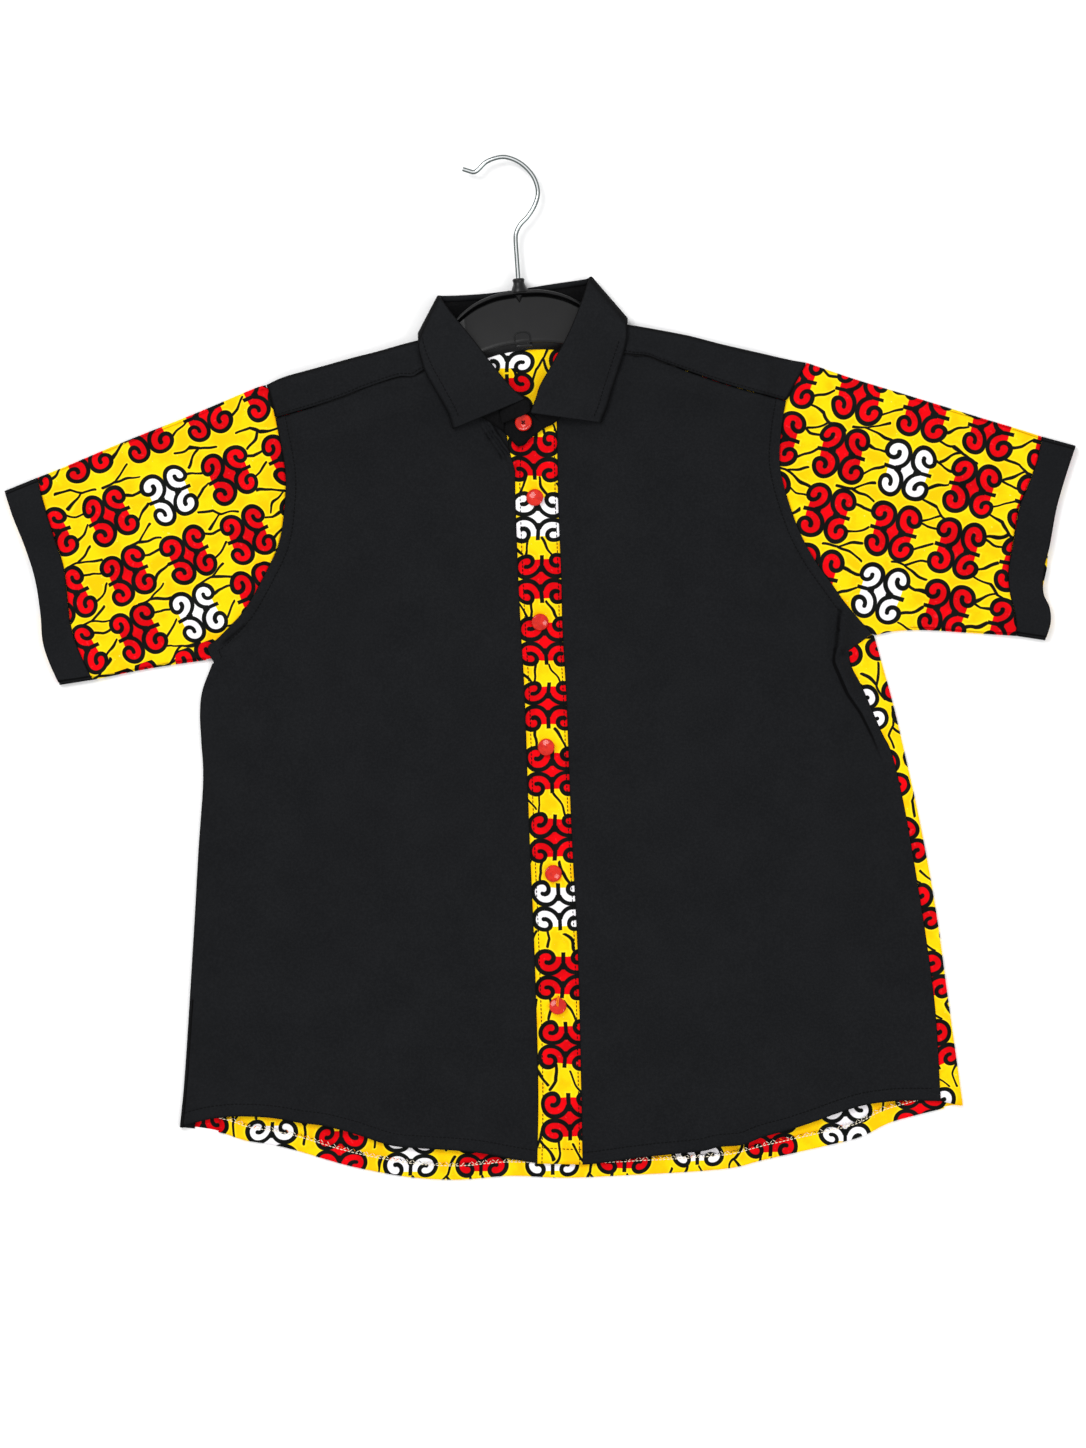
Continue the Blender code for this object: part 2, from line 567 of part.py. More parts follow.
def shoulder_rounds(outline, spans, inside):
    edge = smooth(outline, spans)
    normals = inward_normals(edge, inside)
    rounds = []
    for p, n in zip(edge, normals):
        probe = p + n * 4.0
        rounds.append(half_round(p, n, top(*probe), bottom(*probe), 6))
    return rounds


def build_yoke():
    """One piece: it comes over both shoulders to the front seams and passes behind the neck."""
    spans, neck_spans, front_rows, back_rows, steps = 7, 6, 2, 4, 6
    left = shoulder_rounds(SHOULDER_LEFT, spans, (0, 0))
    right = shoulder_rounds(SHOULDER_RIGHT, spans, (0, 0))
    left[0] = [p + Vector((SEAM, 0, 0)) for p in left[0]]
    right[0] = [p - Vector((SEAM, 0, 0)) for p in right[0]]
    plan = yoke_bottom_plan(spans, neck_spans, back_rows,
                            [r[-1].xy for r in left], [r[-1].xy for r in right])
    front = {}
    for name, rounds, seam, armhole, neck in (
            ("left", left, YOKE_LEFT, ARMHOLE_LEFT, NECK_SIDE_LEFT),
            ("right", right, YOKE_RIGHT, ARMHOLE_RIGHT, NECK_SIDE_RIGHT)):
        south = shrink(smooth(seam, spans), (0, 300), SEAM)
        north = [r[0].xy for r in rounds]
        arm_inset = Vector((SEAM if name == "left" else -SEAM, 0))
        south[0] = south[0] + arm_inset
        west = evenly([south[0], north[0]], front_rows)
        east = smooth([south[-1], neck[1], north[-1]], front_rows)
        front[name] = coons(south, north, west, east)
    grid = []
    total = 2 * spans + neck_spans + 1
    for j in range(front_rows + 1):
        row = [on_top(p) for p in front["left"][j]]
        other = [on_top(p) for p in front["right"][j]]
        grid.append(row + [row[-1]] * (total - 2 * len(row)) + list(reversed(other)))
    for k in range(1, steps):
        row = [r[k] for r in left]
        other = [r[k] for r in right]
        grid.append(row + [row[-1]] * (total - 2 * len(row)) + list(reversed(other)))
    for row in reversed(plan):
        grid.append([on_bottom(p) for p in row])
    first_back = front_rows + steps

    def present(j, i):
        return j >= first_back or i < spans or i >= spans + neck_spans

    wall("yoke", grid, "black_cotton", present=present)


def build_yoke_facing():
    """The print cloth inside the yoke, which shows inside the neck."""
    rows, spans, neck_spans = 3, 5, 6
    left = [p + Vector((0, -6.5)) for p in smooth(SHOULDER_LEFT, spans)]
    right = [p + Vector((0, -6.5)) for p in smooth(SHOULDER_RIGHT, spans)]
    left[0] += Vector((FACING_INSET, 0))
    right[0] -= Vector((FACING_INSET, 0))
    neck = [p + Vector((0, -1.0)) for p in smooth(NECK_BACK, neck_spans)]
    left[-1], right[-1] = neck[0] + Vector((2.0, -3.0)), neck[-1] + Vector((-2.0, -3.0))
    north = left + neck[1:-1] + list(reversed(right))
    south = [p + Vector((0, 1.0)) for p in smooth(BACK_YOKE, 2 * spans + neck_spans)]
    south[0] += Vector((FACING_INSET, 0))
    south[-1] -= Vector((FACING_INSET, 0))
    west = evenly([south[0], north[0]], rows)
    east = evenly([south[-1], north[-1]], rows)
    grid = [[on_bottom(p, 2 * CLOTH + SEAM + 0.5 * bottom(p.x, p.y)) for p in row]
            for row in coons(south, north, west, east)]
    wall("yoke_facing", grid, "print_cotton")


def build_plackets():
    rows = 20
    left = smooth(UNDER_LEFT, rows)
    right = smooth(UNDER_RIGHT, rows)
    under = [[on_top(a.lerp(b, share)) for share in (0, 0.5, 1)] for a, b in zip(left, right)]
    wall("placket_under", under, "print_cotton")
    left = smooth(PLACKET_LEFT, rows)
    right = smooth(PLACKET_RIGHT, rows)
    over = [[on_top(a.lerp(b, share), PLACKET_RISE) for share in (0, 0.5, 1)] for a, b in zip(left, right)]
    wall("placket", over, "print_cotton")


# the sleeves

def tube_ring(low, high, low_normal, high_normal, across, height, puff, floor=0.0, steps=4):
    """One ring of a flattened tube between two outline points, counted from the lower fold over the top layer."""
    low_round = half_round(low, low_normal, height(low + low_normal * 2), floor, steps)
    high_round = half_round(high, high_normal, height(high + high_normal * 2), floor, steps)
    upper, lower = [], []
    for i, plan in enumerate(across):
        share = i / (len(across) - 1)
        upper.append(Vector((plan.x, plan.y, height(plan) + puff * math.sin(math.pi * share))))
        lower.append(Vector((plan.x, plan.y, floor)))
    upper[0], upper[-1] = low_round[0], high_round[0]
    lower[0], lower[-1] = low_round[-1], high_round[-1]
    return upper + high_round[1:-1] + list(reversed(lower)) + list(reversed(low_round))[1:-1]


def tube(name, material, low, high, start, end, spans, across, height, puffs, flip,
         low_end=None, inset=0.0, floor=0.0):
    """A flattened tube between two folds, from the start curve to the end curve."""
    middle = (Vector(start[len(start) // 2]) + Vector(end[len(end) // 2])) / 2
    low_curve, high_curve = smooth(low, spans), smooth(high, spans)
    low_normals = inward_normals(low_curve, middle, (None, low_end))
    high_normals = inward_normals(high_curve, middle)
    low_curve = [p + n * inset for p, n in zip(low_curve, low_normals)]
    high_curve = [p + n * inset for p, n in zip(high_curve, high_normals)]

    def begin(curve, normals):
        return [p + n * (height(p + n * 2) - floor) / 2 for p, n in zip(curve, normals)]

    south, north = begin(low_curve, low_normals), begin(high_curve, high_normals)
    west, east = smooth(start, across), smooth(end, across)
    west[0], west[-1], east[0], east[-1] = south[0], north[0], south[-1], north[-1]
    plan = coons(south, north, west, east)
    rings = []
    for s in range(spans + 1):
        column = [row[s] for row in plan]
        share = s / spans
        puff = puffs[0] * (1 - share) + puffs[1] * share + puffs[2] * math.sin(math.pi * share)
        rings.append(tube_ring(low_curve[s], high_curve[s], low_normals[s], high_normals[s], column, height,
                               puff, floor))
    return wall(name, rings, material, closed=True, flip=flip)


def sleeve_height(plan):
    return top(plan.x, plan.y)


def cuff_height(plan):
    return CUFF_HEIGHT


def sleeve_end_height(seam):
    """Sleeve height that grows to the cuff's over the last few millimetres."""
    line = smooth(seam, 24)

    def height(plan):
        away = min((plan - p).length for p in line)
        return top(plan.x, plan.y) + (CUFF_HEIGHT - FLAT) * (1 - step_between(away, 2.0, 20.0))

    return height


def moved(points, dx, dy=0.0):
    return [(x + dx, y + dy) for x, y in points]


def build_sleeves():
    for side, flip, low, high, seam, armhole, edge, corner, way in (
            ("left", True, SLEEVE_LOW_LEFT, SLEEVE_TOP_LEFT, CUFF_SEAM_LEFT, ARMHOLE_LEFT, CUFF_EDGE_LEFT,
             UNDERARM_LEFT, 1),
            ("right", False, SLEEVE_LOW_RIGHT, SLEEVE_TOP_RIGHT, CUFF_SEAM_RIGHT, ARMHOLE_RIGHT, CUFF_EDGE_RIGHT,
             UNDERARM_RIGHT, -1)):
        gap = way * SEAM / 2
        sleeve_low = moved(low[:1], gap) + low[1:-1] + moved(low[-1:], -way * 1.2, 0.5)
        sleeve_high = moved(high[:1], gap) + high[1:-1] + moved(high[-1:], -way * SEAM)
        tube("sleeve_" + side, "print_cotton", sleeve_low, sleeve_high, moved(seam, gap),
             moved(armhole, -way * SLEEVE_GAP), 8, 8, sleeve_end_height(seam), (0.6, 0.0, SLEEVE_PUFF), flip,
             low_end=corner)
        cuff_low = [edge[0], (Vector(edge[0]) + Vector(low[0])) / 2, Vector(low[0]) - Vector((gap, 0))]
        cuff_high = [edge[-1], (Vector(edge[-1]) + Vector(high[0])) / 2, Vector(high[0]) - Vector((gap, 0))]
        cuff_low, cuff_high = [tuple(p) for p in cuff_low], [tuple(p) for p in cuff_high]
        tube("cuff_" + side, "black_cotton", cuff_low, cuff_high, edge, moved(seam, -gap), 3, 8,
             cuff_height, (0.5, 0.6, 0.2), flip)
        inner = moved(edge, way * 0.6)
        facing_low = [inner[0], tuple((Vector(inner[0]) + Vector(low[0])) / 2), cuff_low[-1]]
        facing_high = [inner[-1], tuple((Vector(inner[-1]) + Vector(high[0])) / 2), cuff_high[-1]]
        tube("cuff_facing_" + side, "print_cotton", facing_low, facing_high, inner, moved(seam, -gap), 2, 8,
             lambda plan: CUFF_HEIGHT - CLOTH - SEAM, (0.5, 0.6, 0.2), flip,
             inset=CLOTH + SEAM, floor=CLOTH + SEAM)


# the collar

def collar_frames():
    """For each section of the collar: its points, the way down its legs, and the way from stand to leaf."""
    frames = []
    for station in COLLAR:
        neck, fold, edge = (Vector(p) for p in (station.neck, station.fold, station.edge))
        if station.turn == 90:
            neck.z = max(neck.z, top(neck.x, neck.y) - CLOTH / 2)
            edge.z = max(edge.z, top(edge.x, edge.y) + LEAF_CLEARANCE)
        legs = ((neck - fold).normalized() + (edge - fold).normalized()).normalized()
        outward = Vector((-1, 0, 0)) if fold.x < -12 else Vector((1, 0, 0))
        angle = math.radians(station.turn)
        away = outward * math.cos(angle) + Vector((0, 0, 1)) * math.sin(angle)
        away = (away - legs * away.dot(legs)).normalized()
        crown_height = max(math.sin(angle), 0.0) * LEAF_CROWN
        frames.append((neck, fold, edge, legs, away, crown_height))
    return frames


def leaf_section(neck, fold, edge, legs, away, crown_height):
    """Mid-cloth points of the leaf, from its seam with the stand over the fold to its outer edge."""
    middle = fold + legs * FOLD_ROLL
    toward_neck = (neck - (middle - away * FOLD_ROLL)).normalized()
    inner = middle - away * FOLD_ROLL + toward_neck * LEAF_INNER_LEG
    points = [inner]
    for angle in (-90, -30, 30, 90):
        a = math.radians(angle)
        points.append(middle - legs * (FOLD_ROLL * math.cos(a)) + away * (FOLD_ROLL * math.sin(a)))
    start = points[-1]
    for share in (0.2, 0.45, 0.72, 1.0):
        crown = away * (crown_height * math.sin(math.pi * share ** 0.8))
        points.append(start.lerp(edge, share) + crown)
    return points


def build_collar():
    frames = collar_frames()
    leaf, stand = [], []
    for neck, fold, edge, legs, away, crown_height in frames:
        section = leaf_section(neck, fold, edge, legs, away, crown_height)
        leaf.append(section)
        toward_neck = (neck - section[0]).normalized()
        stand_top = section[0] + toward_neck * SEAM
        stand.append([stand_top.lerp(neck, share) for share in (0.0, 0.5, 1.0)])
    leaf = [list(row) for row in zip(*(through(column, 2) for column in zip(*leaf)))]
    stand = [list(row) for row in zip(*(through(column, 2) for column in zip(*stand)))]
    for neck, upper in zip(TAB_NECK, TAB_TOP):
        neck, upper = Vector(neck), Vector(upper)
        stand.append([upper.lerp(neck, share) for share in (0.0, 0.5, 1.0)])
    wall("collar_leaf", leaf, "black_cotton", COLLAR_WALL, centred=True)
    wall("collar_stand", stand, "black_cotton", COLLAR_WALL, centred=True, flip=True)


# buttons and hanger

def disc_points(profile, sides):
    points = []
    for radius, height in profile:
        for k in range(sides):
            angle = 2 * math.pi * k / sides
            points.append(Vector((radius * math.cos(angle), radius * math.sin(angle), height)))
    return points


def build_button(name, centre, tilt=(0.0, 0.0)):
    """A four-hole button: a turned disc with a rim, a dished middle and four sewing holes cut through."""
    sides = 20
    profile = [
        (BUTTON_RADIUS * 0.72, 0.0),
        (BUTTON_RADIUS, BUTTON_HEIGHT * 0.42),
        (BUTTON_RADIUS * 0.97, BUTTON_HEIGHT * 0.75),
        (BUTTON_RADIUS - BUTTON_RIM * 0.6, BUTTON_HEIGHT),
        (BUTTON_RADIUS - BUTTON_RIM * 1.6, BUTTON_HEIGHT - BUTTON_DISH),
    ]
    points = disc_points(profile, sides)
    faces = []
    for ring in range(len(profile) - 1):
        for k in range(sides):
            n = (k + 1) % sides
            a, b = ring * sides, (ring + 1) * sides
            faces.append([a + k, a + n, b + n, b + k])
    faces.append(list(reversed(range(sides))))
    faces.append([(len(profile) - 1) * sides + k for k in range(sides)])
    item = add_object(name, points, faces, "red_button")
    turn = Matrix.Rotation(tilt[0], 4, "X") @ Matrix.Rotation(tilt[1], 4, "Y")
    place = Matrix.Translation(Vector(centre) * MM) @ turn
    for k in range(4):
        angle = math.pi / 4 + math.pi / 2 * k
        bpy.ops.mesh.primitive_cylinder_add(vertices=6, radius=BUTTON_HOLE_RADIUS * MM, depth=4 * BUTTON_HEIGHT * MM)
        cutter = bpy.context.object
        cutter.name = f"{name}_hole_{k}"
        spot = Vector((math.cos(angle), math.sin(angle), 0)) * BUTTON_HOLE_SPACING * math.sqrt(2) * MM
        cutter.matrix_world = place @ Matrix.Translation(spot)
        cutter.hide_render = True
        cutter.display_type = "WIRE"
        cut = item.modifiers.new("hole", "BOOLEAN")
        cut.operation = "DIFFERENCE"
        cut.object = cutter
    item.matrix_world = place
    return item


def build_buttons():
    rise = PLACKET_RISE + SEAM
    for index, (x, y) in enumerate(BUTTONS):
        build_button(f"button_{index + 1}", (x, y, top(x, y) + rise))
    build_button("button_collar", (*COLLAR_BUTTON, 8.5), (math.radians(8), math.radians(-3)))


def build_hanger():
    """A moulded hanger: a flat plate with a raised rim along its upper and lower edges, and a boss for the hook."""
    reaches = [-row.reach for row in reversed(HANGER)][:-1] + [row.reach for row in HANGER]
    reaches = [r for r in reaches]
    sections = []
    for reach in reaches:
        upper, lower = hanger_edges(reach)
        rim = min(HANGER_RIM, (upper - lower) / 3)
        bevel = 0.8
        section = [
            (lower, HANGER_BOTTOM + bevel), (lower, HANGER_TOP - bevel), (lower + bevel, HANGER_TOP),
            (lower + rim, HANGER_TOP), (lower + rim, HANGER_WEB_TOP),
            (upper - rim, HANGER_WEB_TOP), (upper - rim, HANGER_TOP),
            (upper - bevel, HANGER_TOP), (upper, HANGER_TOP - bevel), (upper, HANGER_BOTTOM + bevel),
            (upper - bevel, HANGER_BOTTOM), (lower + bevel, HANGER_BOTTOM),
        ]
        sections.append([Vector((*hanger_plan(reach, h), z)) for h, z in section])
    count = len(sections[0])
    points = [p for section in sections for p in section]
    faces = []
    for s in range(len(sections) - 1):
        for k in range(count):
            n = (k + 1) % count
            faces.append([s * count + k, (s + 1) * count + k, (s + 1) * count + n, s * count + n])
    faces.append(list(range(count)))
    faces.append([(len(sections) - 1) * count + k for k in reversed(range(count))])
    body = add_object("hanger", points, faces, "black_plastic")
    middle = (HANGER_BOTTOM + HANGER_TOP) / 2
    boss_start = hanger_plan(0, -6)
    boss = add_rod([Vector((*boss_start, middle)), Vector((*hanger_plan(0, BOSS_LENGTH), middle))],
                   BOSS_RADIUS, 16, "boss_form")
    socket = add_rod([Vector((*hanger_plan(0, -3), middle)), Vector((*hanger_plan(0, BOSS_LENGTH + 5), middle))],
                     WIRE_RADIUS + SEAM, 16, "socket_form")
    nub = add_rod([Vector((*hanger_plan(0, -34.5), HANGER_WEB_TOP - 2)),
                   Vector((*hanger_plan(0, -34.5), HANGER_TOP - 0.9))], 6.2, 16, "nub_form")
    for form, operation in ((boss, "UNION"), (nub, "UNION"), (socket, "DIFFERENCE")):
        step = body.modifiers.new(form.name, "BOOLEAN")
        step.operation = operation
        step.object = form
        form.hide_render = True
        form.display_type = "WIRE"


def add_rod(path, radius, sides, name):
    """A round bar along straight spans, with flat ends."""
    points, faces = [], []
    for i, centre in enumerate(path):
        along = path[min(i + 1, len(path) - 1)] - path[max(i - 1, 0)]
        across = along.orthogonal().normalized() if abs(along.normalized().z) > 0.9 else Vector((0, 0, 1))
        side = along.cross(across).normalized()
        for k in range(sides):
            angle = 2 * math.pi * k / sides
            points.append(centre + across * (radius * math.cos(angle)) + side * (radius * math.sin(angle)))
    for s in range(len(path) - 1):
        for k in range(sides):
            n = (k + 1) % sides
            faces.append([s * sides + k, s * sides + n, (s + 1) * sides + n, (s + 1) * sides + k])
    faces.append(list(reversed(range(sides))))
    faces.append([(len(path) - 1) * sides + k for k in range(sides)])
    return add_object(name, points, faces, "black_plastic" if "form" in name else "chromed_wire")


def hook_path():
    """The wire's centre line: up from the socket, round the hook and out to its turned tip."""
    middle = (HANGER_BOTTOM + HANGER_TOP) / 2
    start = hanger_plan(0, -2.7)
    neck = Vector(HOOK_CENTRE) + HOOK_RADIUS * Vector((math.cos(HOOK_START), math.sin(HOOK_START)))
    bend_in = neck + (start - neck).normalized() * 4.0
    first = neck + (start - neck).normalized() * 1.2
    plan = [start, hanger_plan(0, BOSS_LENGTH + 1.5), bend_in, first]
    turns = 22
    for k in range(1, turns + 1):
        angle = HOOK_START + (HOOK_END - HOOK_START) * k / turns
        plan.append(Vector(HOOK_CENTRE) + HOOK_RADIUS * Vector((math.cos(angle), math.sin(angle))))
    tip = Vector(HOOK_TIP)
    plan += [plan[-1].lerp(tip, 0.25), tip]
    return [Vector((p.x, p.y, middle)) for p in plan]


def build_hook():
    add_rod(hook_path(), WIRE_RADIUS, 10, "hanger_hook")


clear_scene()
build_front_left()
build_front_right()
build_back()
build_yoke()
build_yoke_facing()
build_plackets()
build_sleeves()
build_collar()
build_buttons()
build_hanger()
build_hook()
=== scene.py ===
"""The looks of a child's African print shirt laid flat on its hanger: cloth shells with creases, wax print,
sewing, buttons, hanger and hook. Tables are in millimetres in the row frame: +X right, +Y to the collar,
+Z up.
"""

import math
from collections import namedtuple

import bpy
import numpy as np
from mathutils import Matrix, Vector


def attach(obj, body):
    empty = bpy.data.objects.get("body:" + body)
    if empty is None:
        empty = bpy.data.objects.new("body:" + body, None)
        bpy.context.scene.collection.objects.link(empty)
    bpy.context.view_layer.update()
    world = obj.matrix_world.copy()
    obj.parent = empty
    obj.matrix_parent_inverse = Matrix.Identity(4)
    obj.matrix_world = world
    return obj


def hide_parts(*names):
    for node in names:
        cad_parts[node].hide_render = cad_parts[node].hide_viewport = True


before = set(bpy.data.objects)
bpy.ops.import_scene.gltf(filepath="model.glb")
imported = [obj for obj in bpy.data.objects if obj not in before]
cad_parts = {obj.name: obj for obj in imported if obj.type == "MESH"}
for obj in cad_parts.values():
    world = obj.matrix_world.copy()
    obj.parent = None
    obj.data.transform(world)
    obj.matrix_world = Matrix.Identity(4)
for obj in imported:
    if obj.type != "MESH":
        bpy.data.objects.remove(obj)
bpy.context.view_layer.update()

MM = 0.001
PIXEL = 2 / 3               # the side of a photograph pixel in millimetres
PHOTO_MIDDLE = (540, 668)   # the frame's origin in photograph pixels
CLOTH = 0.45                # thickness of a cloth shell
FLAT = 3.6                  # height of the outer face where the layers lie free
CUFF_HEIGHT = 5.4
CUFF_WALL = 1.3             # the space that the cuff's own cloth takes round its facing
HEM_HEIGHT = 2.3            # of the back's turned-up hem
HEM_WIDTH = 9.5
UNDER_STRIP = 8             # how far the left side wraps round under the shirt
NECK_LIFT = 1.9             # how far the lower layer rises at the neck, where the collar is under it
GAP = 0.25                  # between two pieces at a seam
CHEST = (0, 60)             # the side of an armhole on which the body lies

HANGER_AXIS = (-14.0, 251.3)
HANGER_TILT = math.radians(5.5)
HANGER_TOP = 10.6
TENT_TOP = HANGER_TOP + 0.5 + CLOTH
TENT_REACH = 45             # over which the cloth comes down beside the hanger
TENT_MARGIN = 14

# half of the hanger: how far out along its axis, and its upper and lower edge there
HangerSection = namedtuple("HangerSection", "reach upper lower")
HANGER = [HangerSection(*row) for row in (
    (0, 0, -35),
    (16, -0.8, -36),
    (31, -5.7, -39.5),
    (44, -14.6, -44),
    (52, -23.5, -47.5),
    (59, -31, -50),
    (66, -34.6, -52),
    (95, -43.5, -60),
    (120, -51, -67),
    (142, -58.5, -72.5),
    (149, -63, -71.5),
)]

# outlines seen from above
SIDE_LEFT = [
    (-240, -306), (-236.5, -268), (-231, -181), (-227.5, -120), (-224.5, -75), (-225.8, -48), (-226.6, -30),
    (-225, -15), (-218.5, 2.5),
]
SIDE_RIGHT = [
    (281.8, -291.3), (278.7, -269), (271.6, -218), (263.9, -162), (253.6, -105), (241.7, -51), (234.5, -21),
    (228, 2.3), (222.7, 21.3),
]
SEAM_RIGHT = [
    (267, -288.5), (263.9, -233), (258.3, -187), (251.2, -141), (242.9, -93), (234.5, -57), (227.3, -42),
    (214.3, -12), (207.5, 1), (205.7, 11.5),
]
ARMHOLE_LEFT = [
    (-218.5, 4.5), (-221.6, 14), (-213.8, 20.9), (-197.7, 38), (-184.7, 60.3), (-174, 84), (-170.2, 111.5),
    (-170.2, 132.9), (-176.4, 166.2), (-182.5, 188.5),
]
ARMHOLE_RIGHT = [
    (222.7, 21.6), (204.7, 42), (194.5, 56.3), (182.2, 73.7), (170.6, 96.9), (160.4, 131.7), (160.9, 157.8),
    (164, 177.7), (177.3, 203.5),
]
YOKE_LEFT = [
    (-176.4, 166.2), (-153.3, 172.7), (-131.5, 180), (-117, 185.7), (-102.7, 190.8), (-92.7, 193.7),
    (-84.7, 193.5), (-79.5, 197), (-73, 200),
]
YOKE_RIGHT = [
    (164, 177.7), (142.6, 183.1), (122.9, 188.7), (106.9, 194.1), (90.8, 199.7), (80, 203.5), (71.2, 207),
    (63, 207.7), (50, 210),
]
SHOULDER_LEFT = [
    (-182.5, 188.5), (-170.7, 193.7), (-147.5, 200.2), (-124.3, 206.7), (-110, 210.3), (-88, 216.4),
    (-73, 220),
]
SHOULDER_RIGHT = [
    (177.3, 203.5), (164.9, 205.6), (135.5, 212.2), (117.6, 216.4), (99.7, 221.1), (80, 224.9), (64, 227.7),
    (51.5, 229.5),
]
NECK_LEFT = [(-73, 200), (-63, 190.5), (-50.5, 178.5), (-35, 170), (-27.5, 162.6), (-22.6, 156.2)]
NECK_RIGHT = [(50, 210), (40.5, 198.5), (30.5, 186), (18.5, 175), (6.5, 166.5)]
NECK_BACK = [(-73, 220), (-50, 216), (-12, 214.5), (28, 220), (51.5, 229.5)]
NECK_SIDE_LEFT = [(-73, 200), (-75, 208), (-73, 220)]
NECK_SIDE_RIGHT = [(50, 210), (52.5, 219), (51.5, 229.5)]
BACK_YOKE = [(-172, 146), (-90, 141), (-5, 140), (80, 145), (161, 152)]
HEM_LEFT = [
    (-240, -306), (-228.2, -302.4), (-215.9, -299.9), (-199.8, -298.7), (-177.6, -299.9), (-160.3, -303),
    (-144.3, -305), (-123.3, -310.4), (-104.9, -316.6), (-92.5, -319.1), (-74, -320.3), (-43, -322.7),
    (-19, -327), (-1.2, -330),
]
HEM_RIGHT = [
    (267, -288.5), (243.6, -288.1), (228, -289.3), (213.8, -291.7), (197, -297), (184, -301.8), (166, -307.7),
    (148.3, -312.5), (135, -317.6), (118.6, -319.1), (106.7, -322), (70, -325.7), (36, -330.3), (25, -330.7),
]
HEM_BACK = [
    (-239.5, -306.5), (-228, -307), (-209.7, -310.4), (-197.3, -314.7), (-177.6, -317.8), (-160.3, -322.1),
    (-141.9, -327.7), (-123.3, -332.7), (-98.7, -337.5), (-80.2, -340), (-53.3, -341), (-19, -338.4),
    (16.7, -339.7), (64.3, -337.7), (106, -335.3), (130.5, -332.7), (148.3, -328), (190, -318.5),
    (213.8, -312.5), (231.7, -303.5), (249.5, -298.3), (267, -294), (281.8, -291.3),
]
PLACKET_LEFT = [
    (-1.7, -330), (-1.1, -276.5), (-3.5, -191.3), (-7.1, -106.4), (-10, -21.3), (-12.7, 25.6), (-14.5, 64),
    (-16.1, 107.3), (-16.4, 127.7), (-15.6, 141), (-12.6, 155),
]
PLACKET_RIGHT = [
    (29.5, -330.7), (28.5, -276.5), (26.3, -191.3), (22, -106.4), (18.7, -21.3), (16.1, 25.6), (15.1, 64),
    (13.3, 107.3), (12.9, 127.7), (12.3, 162), (12, 168),
]
UNDER_LEFT = [(0, -329.5)] + [(x + 1.3, y) for x, y in PLACKET_LEFT[1:8]]
UNDER_LEFT += [(-16.5, 127.7), (-20, 141.3), (-23, 155.5)]
UNDER_RIGHT = [(25, -330)] + [(x - 4, y) for x, y in PLACKET_RIGHT[1:9]] + [(8.6, 159.5)]
CUFF_EDGE_LEFT = [
    (-320, -11.3), (-327.1, 4.4), (-331.2, 18.2), (-332.7, 36.7), (-336.3, 59.5), (-343.1, 80.9),
    (-350.8, 100), (-356.7, 118),
]
CUFF_SEAM_LEFT = [
    (-298, -7.9), (-307.2, 12), (-312.5, 28.9), (-314.1, 42.7), (-317.1, 67.1), (-324, 88.7), (-330.9, 111.5),
    (-334.7, 126.9),
]
CUFF_EDGE_RIGHT = [
    (336.5, 18.4), (340, 30), (339.3, 40.4), (335.1, 50.5), (335.8, 66.5), (339.3, 81), (343.8, 105.6),
    (349.5, 126), (356.8, 148.1),
]
CUFF_SEAM_RIGHT = [
    (317.7, 21.3), (316.2, 36), (312.7, 50.7), (311.9, 65.1), (315.5, 86.8), (319.1, 107.1), (324.9, 121.5),
    (330.7, 137.5), (334.3, 154.2),
]
SLEEVE_LOW_LEFT = [(-298, -7.9), (-260, -0.3), (-222.3, 5)]
SLEEVE_TOP_LEFT = [
    (-334.7, 126.9), (-315.6, 134.5), (-277.3, 150.7), (-231.5, 168.9), (-191.7, 185.7), (-182.5, 188.5),
]
SLEEVE_LOW_RIGHT = [(317.7, 21.3), (281.3, 23.7), (256.7, 25.2), (236.5, 24.5), (222.7, 21.6)]
SLEEVE_TOP_RIGHT = [
    (334.3, 154.2), (317.7, 159.5), (287.3, 168.7), (245.2, 181.7), (209, 192.7), (177.3, 203.5),
]
CUFF_PEEP = 1.7
PLACKET_WIDTH = 29
UNDERARM_LEFT = (0.75, 0.66)
UNDERARM_RIGHT = (-0.75, 0.66)

